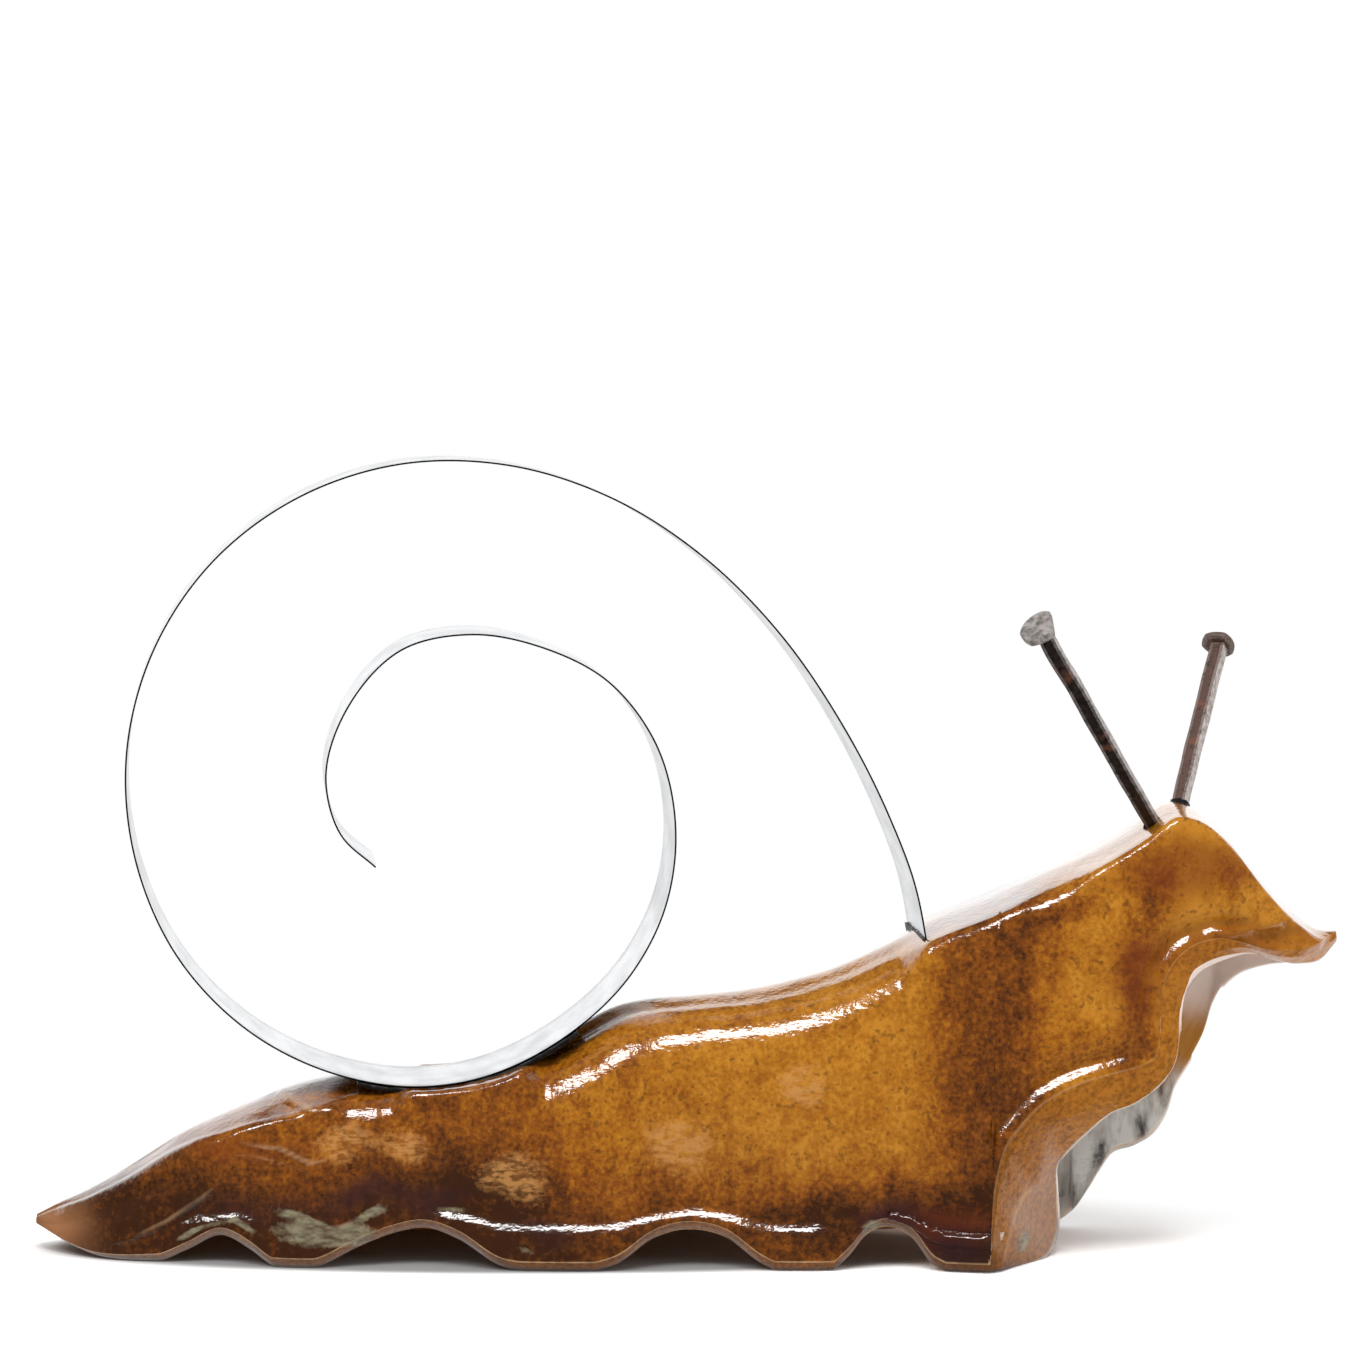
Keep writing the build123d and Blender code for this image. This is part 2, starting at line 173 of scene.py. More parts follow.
class Trace:
    """Smooth curve through rows of numbers, read at any key between the first and the last."""

    def __init__(self, keys: Sequence[float], rows: Sequence[Row]) -> None:
        """Keep the rows and work out the slope at each of them.

        Args:
            keys: A rising number for each row.
            rows: The values that the curve passes through.
        """
        self.keys = list(keys)
        self.rows = [Vector(row) for row in rows]
        spans = [high - low for low, high in zip(self.keys, self.keys[1:])]
        secants = [(after - before) / span for before, after, span in zip(self.rows, self.rows[1:], spans)]
        middles = [
            (before * right + after * left) / (left + right)
            for before, after, left, right in zip(secants, secants[1:], spans, spans[1:])
        ]
        self.slopes = [secants[0], *middles, secants[-1]]

    def at(self, key: float) -> Vector:
        """Value of the curve at a key, held at its ends.

        Args:
            key: Where the curve is read.

        Returns:
            The row's values there.
        """
        key = min(max(key, self.keys[0]), self.keys[-1])
        after = 1
        while after < len(self.keys) - 1 and self.keys[after] < key:
            after += 1
        low, high = self.keys[after - 1], self.keys[after]
        span = high - low
        part = (key - low) / span
        rest = 1 - part
        return (
            self.rows[after - 1] * (rest * rest * (1 + 2 * part))
            + self.slopes[after - 1] * (span * part * rest * rest)
            + self.rows[after] * (part * part * (3 - 2 * part))
            - self.slopes[after] * (span * rest * part * part)
        )


def along_body(rows: Sequence[Row], *units: float) -> Trace:
    """Curve along the body through rows of shares.

    Args:
        rows: Place along the length, then the values.
        *units: What each value is multiplied by, with a 0 after the only one.

    Returns:
        The curve, keyed by the place in metres.
    """
    values = [tuple(value * unit for value, unit in zip(row[1:] + (0.0,), units)) for row in rows]
    return Trace([row[0] * BODY_LENGTH for row in rows], values)


def lengths_along(points: Sequence[Vector]) -> list[float]:
    """Running length at each point of a line, as shares of the whole.

    Args:
        points: Points in order.

    Returns:
        A share from 0 to 1 for each point.
    """
    running = [0.0]
    for before, after in zip(points, points[1:]):
        running.append(running[-1] + (after - before).length)
    return [length / running[-1] for length in running]


def ease(part: float) -> float:
    """Smooth step from 0 to 1."""
    part = min(max(part, 0.0), 1.0)
    return part * part * (3 - 2 * part)


def between(value: float, low: float, high: float) -> float:
    """Smooth step from 0 to 1 between two sizes in millimetres."""
    return ease((value - low * MM) / ((high - low) * MM))


def bell(offset: float, width: float) -> float:
    """Bell curve that is 1 at no offset."""
    return math.exp(-((offset / width) ** 2))


def linear(tint: str | float) -> Row:
    """Linear colour with an alpha of 1.

    Args:
        tint: Six sRGB hex digits, such as "B0701E", or a linear grey level.

    Returns:
        Red, green, blue and alpha.
    """
    if not isinstance(tint, str):
        return (tint, tint, tint, 1.0)
    values = [int(tint[start : start + 2], 16) / 255 for start in (0, 2, 4)]
    return (*(value / 12.92 if value <= 0.04045 else ((value + 0.055) / 1.055) ** 2.4 for value in values), 1.0)


def node(
    owner: Owner, kind: str, settings: dict[str, object] | None = None, out: int | str = 0, **links: object
) -> Socket | None:
    """Add a shader node with its settings and links.

    Args:
        owner: The material or world that it belongs to.
        kind: The node's type without its prefix, such as "TexNoise".
        settings: Attributes of the node, with "stops" for the places and tints of a ramp.
        out: The output that is handed back.
        **links: A value or an output for each input. A leading underscore and digits name an input by
            its place, and other underscores stand for spaces.

    Returns:
        The output, or nothing from a node that has none.
    """
    made = owner.node_tree.nodes.new("ShaderNode" + kind)
    settings = dict(settings or {})
    stops = settings.pop("stops", ())
    for name, value in settings.items():
        setattr(made, name, value)
    if stops:
        elements = made.color_ramp.elements
        while len(elements) < len(stops):
            elements.new(0.5)
        for element, (place, tint) in zip(elements, stops):
            element.position = place
            element.color = linear(tint)
    for name, value in links.items():
        target = made.inputs[int(name[1:])] if name[0] == "_" else made.inputs[name.replace("_", " ")]
        if isinstance(value, Socket):
            owner.node_tree.links.new(value, target)
        else:
            target.default_value = value
    return made.outputs[out] if made.outputs else None


# Settings that several nodes share
OVER = {"data_type": "RGBA", "clamp_factor": True}
TIMES = {"operation": "MULTIPLY"}
PLUS = {"operation": "ADD"}
LARGER = {"operation": "MAXIMUM"}
SMOOTH = {"interpolation_type": "SMOOTHSTEP"}


def new_material(name: str) -> bpy.types.Material:
    """Add an empty node material.

    Args:
        name: Its name.

    Returns:
        The material.
    """
    material = bpy.data.materials.new(name)
    material.use_nodes = True
    material.node_tree.nodes.clear()
    return material


def finish(material: bpy.types.Material, **links: object) -> bpy.types.Material:
    """Give a material its surface, with a value or an output for each input that is set."""
    node(material, "OutputMaterial", Surface=node(material, "BsdfPrincipled", **links))
    return material


@dataclass(frozen=True)
class AmberGlaze:
    """Amber iron glaze on hand-built stoneware: runny and glossy, mottled with darker iron."""

    tones: tuple[str, ...] = ("3C1E09", "60330D", "8A4C11", "AA6A17", "C28126")
    speck: str = "45200C"
    rust: str = "74300F"
    # Pale tan painted along the arrises and crease ridges as a highlight line
    edge: str = "E2BC8E"
    # Near white painted along the front lip's inner edge as a highlight line
    lip: str = "F6EEE6"
    plum: str = "321A20"
    ash: str = "938C70"
    ash_dark: str = "5A4A3A"
    cut: str = "B8721E"
    cut_dark: str = "8A5216"
    pink: str = "A4704A"
    # Tan of the lighter patches on the side, a painted reflection of a lamp in the glaze
    sheen: str = "C88E4E"
    # Pale pinkish white painted high inside the front as the reflection of the white floor
    painted_reflection_inside: str = "F2DDD0"
    # Brown of the lining, painted lighter than the glaze to stand in for the light inside the hollow
    brown_inside_painted_lighter: str = "B87A2C"
    # Grey, white and near-black marks painted low inside the front as reflections of the floor and the body
    mottle: tuple[str, ...] = ("24201E", "6E6A66", "BDB9B0", "E4E1DA")
    fine_size: float = 2.4 * MM
    patch_size: float = 30 * MM
    streak_size: float = 9 * MM
    streak_stretch: float = 0.14
    vein_size: float = 4.5 * MM
    ripple_size: float = 4.0 * MM
    # Size of the streaks of painted reflection inside the front
    reflection_streak_size: float = 11 * MM
    peel_size: float = 3.4 * MM
    peel_depth: float = 0.22 * MM
    roughness: float = 0.16
    coat_roughness: float = 0.03
    ior: float = 1.58

    def make(self) -> bpy.types.Material:
        """Build the material.

        Returns:
            The finished material.
        """
        material = new_material("amber_iron_glaze")
        add = partial(node, material)
        place = add("TexCoord", out="Object")

        def field(size: float, detail: float, stretch: Row = (1.0, 1.0, 1.0)) -> Socket:
            """Noise whose cells are one size wide, stretched along the axes."""
            where = add("Mapping", Vector=place, Scale=stretch)
            return add("TexNoise", Vector=where, Scale=1 / size, Detail=detail, Roughness=0.6)

        def worn(name: str) -> Socket:
            """Painted layer of the mesh."""
            return add("Attribute", {"attribute_name": name}, "Fac")

        def toned(factor: Socket, *stops: tuple[float, object]) -> Socket:
            """Tints over a factor."""
            return add("ValToRGB", {"stops": stops}, Fac=factor)

        def shifted(base: Socket, wave: Socket, amount: float) -> Socket:
            """Base moved up and down by a noise round its middle."""
            moved = add("Math", {"operation": "MULTIPLY_ADD"}, _0=wave, _1=amount, _2=-amount / 2)
            return add("Math", PLUS, _0=base, _1=moved)

        def laid(under: object, layer: Socket, over: object, strength: float = 1.0) -> Socket:
            """One colour over another where a layer shows."""
            amount = add("Math", TIMES, _0=layer, _1=strength)
            return add("Mix", OVER, 2, _0=amount, _6=under, _7=over)

        fine = field(self.fine_size, 3.0)
        patches = field(self.patch_size, 4.0)
        streaks = field(self.streak_size, 3.0, (1.0, 1.0, self.streak_stretch))

        def broken(name: str, softness: float) -> Socket:
            """Painted layer with the broken border of a run of glaze."""
            ragged = shifted(shifted(worn(name), patches, 0.8), fine, 0.5)
            return toned(ragged, (0.45 - softness, 0.0), (0.45 + softness, 1.0))

        tone = worn("tone")
        clots = field(self.fine_size * 3, 2.0)
        for wave, amount in ((patches, 0.55), (streaks, 0.40), (clots, 0.60), (fine, 1.00)):
            tone = shifted(tone, wave, amount)
        steps = len(self.tones) - 1
        colour = toned(tone, *((index / steps, tint) for index, tint in enumerate(self.tones)))
        specks = toned(field(self.fine_size * 1.5, 1.0), (0.60, 0.0), (0.70, 1.0))
        ripples = toned(field(self.ripple_size, 3.0, (0.6, 0.6, 1.6)), (0.42, 0.15), (0.56, 0.75))
        # Lighter rippled patches painted as the blurred reflection of a lamp in the glaze
        reflection_patches = add("Math", TIMES, _0=broken("sheen", 0.20), _1=ripples)
        grain = toned(fine, (0.35, self.cut_dark), (0.60, self.cut))
        veins = toned(field(self.vein_size, 4.0, (0.5, 1.0, 1.4)), (0.38, self.ash_dark), (0.60, self.ash))
        # Streaky grey and white marks of painted reflection, low inside the front
        reflection_streaks = field(self.reflection_streak_size, 4.0, (1.0, 1.0, 0.35))
        painted_reflection_tints = toned(reflection_streaks, *zip((0.30, 0.37, 0.46, 0.58), self.mottle))
        # Lining: painted reflection high inside the front, elsewhere a brown painted lighter to stand in for
        # light
        lining = laid(linear(self.painted_reflection_inside), worn("low"), linear(self.brown_inside_painted_lighter))
        lining = laid(lining, worn("mottle"), painted_reflection_tints)
        # Pale highlight lines painted along the arrises and crease ridges, broken up by the streaks
        runs = toned(streaks, (0.35, 0.45), (0.60, 0.95))
        lines = add("Math", TIMES, _0=toned(worn("arris"), (0.12, 0.0), (0.60, 1.0)), _1=runs)
        for layer, over, strength in (
            (specks, linear(self.speck), 0.5),
            (broken("warm", 0.25), linear(self.rust), 0.6),
            (worn("pink"), linear(self.pink), 0.8),
            (broken("plum", 0.25), linear(self.plum), 0.75),
            # Painted reflection patches
            (reflection_patches, linear(self.sheen), 1.0),
            (worn("cut"), grain, 0.75),
            (broken("ash", 0.14), veins, 0.88),
            # The lining, with its painted reflection and painted light
            (worn("inside"), lining, 1.0),
            # Painted highlight lines on the arrises
            (lines, linear(self.edge), 1.0),
            # Painted highlight line along the front lip's inner edge
            (toned(worn("lip"), (0.45, 0.0), (0.85, 0.9)), linear(self.lip), 1.0),
        ):
            colour = laid(colour, layer, over, strength)

        peel = field(self.peel_size, 2.0)
        crinkle = field(self.peel_size, 2.0, (0.45, 0.45, 1.5))
        height = add("Math", PLUS, _0=peel, _1=crinkle)
        bump = add("Bump", Strength=1.0, Distance=self.peel_depth, Height=height)
        gloss = {"Roughness": self.roughness, "Coat_Roughness": self.coat_roughness, "Coat_Weight": 1.0}
        fresnel = {"IOR": self.ior, "Coat_IOR": self.ior}
        return finish(material, Base_Color=colour, Normal=bump, Coat_Normal=bump, **gloss, **fresnel)


@dataclass(frozen=True)
class RolledSteel:
    """Cold-rolled steel strip, brushed along its length and scuffed in handling."""

    bright: str = "E6E7E9"
    dull: str = "C6C9CC"
    edge: str = "2E2F31"
    half_width: float = 27 * MM
    edge_width: float = 0.05 * MM
    line_width: float = 0.5 * MM
    line_length: float = 60 * MM
    scuff_size: float = 26 * MM
    line_depth: float = 0.05 * MM
    roughness: float = 0.26

    def make(self) -> bpy.types.Material:
        """Build the material.

        Returns:
            The finished material.
        """
        material = new_material("rolled_strip_steel")
        add = partial(node, material)
        place = add("UVMap")
        # The brushed lines are drawn coarser than real ones, so that they show
        stretch = (1 / self.line_length, 1 / self.line_width, 1.0)
        stretched = add("Mapping", Vector=place, Scale=stretch)
        lines = add("TexNoise", Vector=stretched, Scale=1.0, Detail=3.0, Roughness=0.6)
        scuffs = add("TexNoise", Vector=place, Scale=1 / self.scuff_size, Detail=4.0)
        colour = add("ValToRGB", {"stops": ((0.35, self.dull), (0.62, self.bright))}, Fac=scuffs)
        fine = add("ValToRGB", {"stops": ((0.30, 0.80), (0.65, 1.0))}, Fac=lines)
        colour = add("Mix", OVER | {"blend_type": "MULTIPLY"}, 2, _0=0.6, _6=colour, _7=fine)
        over = add("SeparateXYZ", out="Y", Vector=place)
        middle = add("Math", {"operation": "SUBTRACT"}, _0=over, _1=self.half_width)
        gap = add("Math", {"operation": "ABSOLUTE"}, _0=middle)
        inside = self.half_width - self.edge_width
        rim = add("Math", {"operation": "GREATER_THAN"}, _0=gap, _1=inside)
        colour = add("Mix", OVER, 2, _0=rim, _6=colour, _7=linear(self.edge))
        stops = ((0.30, self.roughness - 0.08), (0.75, self.roughness + 0.10))
        rough = add("ValToRGB", {"stops": stops}, Fac=lines)
        bump = add("Bump", Strength=0.12, Distance=self.line_depth, Height=lines)
        return finish(material, Base_Color=colour, Roughness=rough, Normal=bump, Metallic=1.0)


@dataclass(frozen=True)
class ForgedIron:
    """Hand-forged nail iron under brown oxide, dull with scale, worn grey at its edges, with a pale grey
    painted highlight on some faces.
    """

    oxide: str = "261A16"
    dark: str = "0E0B0A"
    light: str = "3C2C26"
    # Pale grey of worn edges, also painted as a highlight on the faces that point right and on the head's top
    worn: str = "CFC6C1"
    rust: str = "A05A30"
    scale_size: float = 3.0 * MM
    scale_depth: float = 0.4 * MM
    roughness: float = 0.55

    def make(self) -> bpy.types.Material:
        """Build the material.

        Returns:
            The finished material.
        """
        material = new_material("forged_oxide_iron")
        add = partial(node, material)
        place = add("TexCoord", out="Object")
        size = 1 / self.scale_size
        flakes = add("TexNoise", Vector=place, Scale=size, Detail=6.0, Roughness=0.65)
        blooms = add("TexNoise", Vector=place, Scale=1 / (self.scale_size * 4), Detail=4.0)
        stops = ((0.32, self.dark), (0.50, self.oxide), (0.72, self.light))
        colour = add("ValToRGB", {"stops": stops}, Fac=flakes)
        rusty = add("ValToRGB", {"stops": ((0.60, 0.0), (0.72, 1.0))}, Fac=blooms)
        patchy = add("ValToRGB", {"stops": ((0.35, 0.3), (0.6, 1.0))}, Fac=flakes)
        # The corner layer lays pale grey: worn edges, and a painted highlight on right-facing faces and the
        # head's top
        corner = add("Attribute", {"attribute_name": "corner"}, "Fac")
        for layer, share, tint in ((rusty, 0.35, self.rust), (corner, patchy, self.worn)):
            amount = add("Math", TIMES, _0=layer, _1=share)
            colour = add("Mix", OVER, 2, _0=amount, _6=colour, _7=linear(tint))
        bump = add("Bump", Strength=0.6, Distance=self.scale_depth, Height=flakes)
        return finish(material, Base_Color=colour, Normal=bump, Metallic=0.15, Roughness=self.roughness)


@dataclass(frozen=True)
class BlackEpoxy:
    """Black epoxy adhesive, cured half glossy with dust in it."""

    colour: str = "0E0D0C"
    dust: str = "38342F"
    grit_size: float = 1.6 * MM
    grit_depth: float = 0.4 * MM
    roughness: float = 0.5

    def make(self) -> bpy.types.Material:
        """Build the material.

        Returns:
            The finished material.
        """
        material = new_material("cured_black_epoxy")
        add = partial(node, material)
        place = add("TexCoord", out="Object")
        grit = add("TexNoise", Vector=place, Scale=1 / self.grit_size, Detail=4.0)
        colour = add("ValToRGB", {"stops": ((0.55, self.colour), (0.72, self.dust))}, Fac=grit)
        bump = add("Bump", Strength=0.5, Distance=self.grit_depth, Height=grit)
        return finish(material, Base_Color=colour, Normal=bump, Roughness=self.roughness)


def link_piece(
    name: str, mesh: bpy.types.Mesh, material: bpy.types.Material, replaced: str
) -> bpy.types.Object:
    """Put a finished mesh in the scene as a piece of the snail.

    Args:
        name: The piece's name.
        mesh: Its mesh, in place.
        material: Its finish.
        replaced: The solid that it stands for.

    Returns:
        The new object.
    """
    piece = bpy.data.objects.new(name, mesh)
    bpy.context.scene.collection.objects.link(piece)
    mesh.materials.append(material)
    for polygon in mesh.polygons:
        polygon.use_smooth = True
    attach(piece, "root")
    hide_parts(replaced)
    LOG.info("%s: %d faces", name, len(mesh.polygons))
    return piece


def to_data(mesh: bmesh.types.BMesh, name: str) -> bpy.types.Mesh:
    """Turn a finished bmesh to mesh data and free it.

    Args:
        mesh: The finished bmesh.
        name: The data's name.

    Returns:
        The mesh data.
    """
    data = bpy.data.meshes.new(name)
    mesh.to_mesh(data)
    mesh.free()
    return data


def wobble(place: Vector, size: float, amount: float) -> float:
    """How far a hand-made surface's slow random waves of a size and a height stand out at a place."""
    return noise.noise(place / size) * amount


@dataclass(frozen=True)
class GlazeSpot:
    """Soft spot of a painted layer, placed by its shares of the length and the crest."""

    x: float
    z: float
    reach_x: float
    reach_z: float
    strength: float
    tilt: float = 0.0

    def weight(self, place: Vector) -> float:
        """How strong the spot is at a place.

        Args:
            place: Point of the surface.

        Returns:
            Its strength there.
        """
        away = Vector((place.x - self.x * BODY_LENGTH, place.z - self.z * CREST_HEIGHT))
        turned = away @ Matrix.Rotation(math.radians(self.tilt), 2)
        across = turned.x / (self.reach_x * BODY_LENGTH)
        rise = turned.y / (self.reach_z * CREST_HEIGHT)
        return self.strength * math.exp(-(across * across + rise * rise))


# Spots of each painted layer: place and reach in thousandths of the length and the crest, strength in
# thousandths, and tilt in degrees
WASHES = {
    "tone": (
        (120, 120, 80, 70, -300), (-170, 330, 100, 40, 60), (-150, 200, 50, 60, -250),
        (340, 600, 16, 150, -600), (320, 480, 35, 40, -400), (352, 850, 22, 90, -500),
        (190, 60, 40, 60, -300), (415, 860, 20, 50, -450), (285, 780, 40, 30, -350, 25),
        (385, 690, 50, 18, -350),
    ),
    "plum": (
        (-330, 120, 60, 45, 450), (-250, 165, 40, 40, 550), (-180, 170, 45, 50, 550),
        (-110, 90, 40, 40, 500), (155, 120, 30, 50, 600), (205, 60, 30, 60, 700), (268, 100, 16, 80, 600),
    ),
    "ash": (
        (-372, 70, 24, 10, 800, 12), (-335, 85, 18, 12, 800, -14), (-268, 76, 32, 30, 1000, -8),
        (-288, 118, 16, 10, 1000, -24), (-236, 110, 16, 12, 800, 10), (-172, 125, 22, 14, 650, -20),
        (-120, 50, 12, 10, 600), (148, 95, 10, 20, 800), (260, 70, 8, 36, 800, -10),
    ),
    "warm": (
        (-258, 100, 16, 8, 1200, -5), (380, 880, 50, 60, 700), (345, 640, 30, 120, 600),
        (430, 720, 80, 50, 700), (190, 100, 50, 60, 700), (-340, 260, 60, 40, 600),
    ),
    "pink": (
        (-492, 70, 18, 80, 1000), (-470, 60, 20, 60, 600), (258, 170, 10, 60, 500, 10),
    ),
    # Patches of painted reflection: lighter rippled tan where a lamp's blurred reflection falls on the side
    "sheen": (
        (-8, 270, 24, 75, 900), (89, 396, 22, 45, 900), (-128, 198, 24, 60, 900), (-256, 277, 26, 50, 900),
        (-212, 268, 14, 30, 800),
    ),
}
LAYERS = {
    layer: tuple(GlazeSpot(*(number / 1000 for number in row[:5]), *row[5:]) for row in rows)
    for layer, rows in WASHES.items()
}


@dataclass(frozen=True)
class ClayCrease:
    """Raised crease in the clay with a painted highlight along its ridge, drawn in elevation by shares of the
    length and the crest.
    """

    path: Sequence[tuple[float, float]]
    rise: float = 0.9 * MM
    width: float = 1.5 * MM
    # How strong the pale highlight line painted along the ridge is
    highlight_line: float = 0.2

    def nearest(self, place: Vector) -> tuple[float, float]:
        """Where a place lies beside the crease.

        Args:
            place: Point of the surface.

        Returns:
            Its signed distance above the crease, and how far along it lies from 0 to 1.
        """
        best = (math.inf, 0.0)
        points = [Vector((x * BODY_LENGTH, z * CREST_HEIGHT)) for x, z in self.path]
        flat = Vector((place.x, place.z))
        for index, (start, end) in enumerate(zip(points, points[1:])):
            run = end - start
            part = min(max((flat - start).dot(run) / run.length_squared, 0.0), 1.0)
            gap = flat - start.lerp(end, part)
            if gap.length < abs(best[0]):
                above = 1.0 if run.x * gap.y - run.y * gap.x > 0 else -1.0
                best = (gap.length * above, (index + part) / (len(points) - 1))
        return best

    def lift(self, place: Vector) -> tuple[float, float]:
        """What the crease does to the surface at a place.

        Args:
            place: Point of the surface.

        Returns:
            How far it is raised, and how much of a painted highlight line shows.
        """
        gap, along = self.nearest(place)
        if abs(gap) > 6 * self.width:
            return 0.0, 0.0
        fade = math.sin(math.pi * min(max(along, 0.02), 0.98)) ** 0.5
        ridge_part = bell(gap, self.width)
        valley = bell(gap + 2.4 * self.width, 2 * self.width)
        return fade * self.rise * (ridge_part - 0.8 * valley), fade * ridge_part * self.highlight_line


CREASES = (
    ClayCrease(((-0.322, 0.372), (-0.297, 0.352), (-0.268, 0.335)), highlight_line=0.32),
    ClayCrease(((-0.345, 0.272), (-0.305, 0.258), (-0.285, 0.232), (-0.268, 0.238)), highlight_line=0.36),
    ClayCrease(((-0.428, 0.045), (-0.395, 0.090), (-0.365, 0.150), (-0.354, 0.180)), highlight_line=0.26),
    ClayCrease(((-0.440, 0.175), (-0.405, 0.245), (-0.375, 0.285)), width=1.2 * MM),
    ClayCrease(((-0.360, 0.230), (-0.330, 0.245), (-0.300, 0.225), (-0.262, 0.190)), 0.7 * MM),
    ClayCrease(((0.398, 0.744), (0.412, 0.733), (0.428, 0.742), (0.448, 0.750)), 3 * MM, 2.4 * MM, 0.0),
)


@dataclass
class SlabBody:
    """Hollow body, one clay slab bent to a tunnel with a scalloped hem and an in-turned front lip."""

    wall: float = 8 * MM
    full_height: float = 60 * MM
    skirt_height: float = 20.5 * MM
    skirt_follow: float = 0.36
    skirt_bend: float = 10 * MM
    skirt_turn: float = 8 * MM
    skirt_flat: float = 1.4 * MM
    skirt_calm: float = math.radians(12)
    batter: float = 3 * MM
    belly: float = 1.2 * MM
    arris_rise: float = 5 * MM
    arris_inset: float = 5.5 * MM
    edge_swell: float = 0.4 * MM
    tail_taper: float = 40 * MM
    nose_taper: float = 26 * MM
    strip_gap: float = 1.2 * MM
    strip_reach: float = 32 * MM
    groove_from: float = 100 * MM
    groove_depth: float = 3.4 * MM
    groove_place: float = 7 * MM
    groove_width: float = 3.6 * MM
    corner_shares: tuple[float, float] = (0.348, 0.490)
    corner_reach: float = 9 * MM
    hem_columns: int = 380
    front_columns: int = 168
    outer_rows: int = 58
    inner_rows: int = 15
    tree_points: int = 600
    edge_shares: Row = (0.18, 0.50, 0.82)
    fold_shares: Row = (0.14, 0.34, 0.54, 0.74, 0.90)
    swell_size: float = 60 * MM
    swell: float = 1.1 * MM
    ripple_size: float = 15 * MM
    ripple: float = 0.25 * MM
    drift_size: float = 22 * MM
    drift: float = 7 * MM
    drift_seed: int = 214
    low_tone: float = 0.50

    def __post_init__(self) -> None:
        """Make the smooth tables that the surface is read from."""
        self.stations = along_body(STATION_SHARES, CREST_HEIGHT, HEM_HALF_WIDTH, HEM_HALF_WIDTH)
        self.lifts = {
            Face.NEAR: along_body(HEM_LIFT_SHARES, CREST_HEIGHT, 0.0),
            Face.FAR: along_body(FAR_LIFT_SHARES, CREST_HEIGHT, 0.0),
        }
        self.slopes = along_body(SKIRT_SLOPES, 1.0, 0.0)
        self.shoulders = along_body(SHOULDER_SHARES, CREST_HEIGHT, CREST_HEIGHT)
        self.tones = along_body(TONE_SHARES, 1.0, 0.0)
        self.sections: dict[tuple[float, Face, float], Trace] = {}
        self.rims = {
            Face.NEAR: self.rim_traces(NEAR_ARRIS_SHARES, NEAR_LIP_SHARES, NEAR_FOLD_SHARES, Face.NEAR),
            Face.FAR: self.rim_traces(FAR_ARRIS_SHARES, FAR_LIP_SHARES, (), Face.FAR),
        }
        self.near_split = self.rims[Face.NEAR][0].rows[0].x
        self.nose = NEAR_ARRIS_SHARES[-1][0] * BODY_LENGTH
        arc = sorted(row for row in SPIRAL_SHARES if row[1] < 0.19 and row[0] > -0.3)
        self.seat = Trace([row[0] for row in arc], [(row[1], 0.0) for row in arc])
        self.edge = kdtree.KDTree(self.tree_points + 1)
        for step in range(self.tree_points + 1):
            self.edge.insert(self.rims[Face.NEAR][0].at(step / self.tree_points).to_3d(), step)
        self.edge.balance()
        x, z = self.corner_shares
        self.corner = Vector((x * BODY_LENGTH, z * CREST_HEIGHT, 0.0))

    def ridge(self, x: float) -> float:
        """Height of the body's ridge at a place along it."""
        return self.stations.at(x).x

    def under_strip(self, place: Vector) -> float:
        """Height that the back may reach, so that it stays under the strip.

        Args:
            place: Point of the surface.

        Returns:
            The height, or infinity beside the strip.
        """
        if abs(place.y) > self.strip_reach:
            return math.inf
        x = (place.x + place.y * math.tan(STRIP_SKEW) - SEAT_SHARE * BODY_LENGTH) / SHELL_HEIGHT
        if not self.seat.keys[0] < x < self.seat.keys[-1]:
            return math.inf
        return self.ridge(SEAT_SHARE * BODY_LENGTH) + self.seat.at(x).x * SHELL_HEIGHT - self.strip_gap

    def rim_traces(
        self, arris: Sequence[Row], lip: Sequence[Row], fold: Sequence[Row], side: Face
    ) -> tuple[Trace, Trace, Trace]:
        """Curves of one side's front edge.

        Args:
            arris: The outer arris in elevation.
            lip: The lip's inner edge.
            fold: The crease between them at the foot, for as many rows as it has.
            side: Which side of the body.

        Returns:
            Arris in elevation, crease and inner edge, all keyed by the share of the edge's length.
        """
        def placed(row: Row) -> Vector:
            """Point from its shares of the length, the hem and the crest."""
            return Vector((row[0] * BODY_LENGTH, row[1] * HEM_HALF_WIDTH, row[2] * CREST_HEIGHT))

        outer = [Vector((x * BODY_LENGTH, z * CREST_HEIGHT)) for x, z in arris]
        inner = [placed(row) for row in lip]
        middle = [placed(row) for row in fold]
        for edge, end in list(zip(outer, inner))[len(fold) :]:
            start = self.on_surface(edge.x, self.way_down(edge.x, edge.y), side)
            middle.append((start + end) / 2 + Vector((0.0, side.value * MM, 0.0)))
        keys = lengths_along([(edge + Vector((end.x, end.z))) / 2 for edge, end in zip(outer, inner)])
        return Trace(keys, outer), Trace(keys, middle), Trace(keys, inner)

    def lift(self, x: float, side: Face) -> float:
        """Height of the hem's lower edge at a place along the body."""
        return max(self.lifts[side].at(x).x, 0.0)

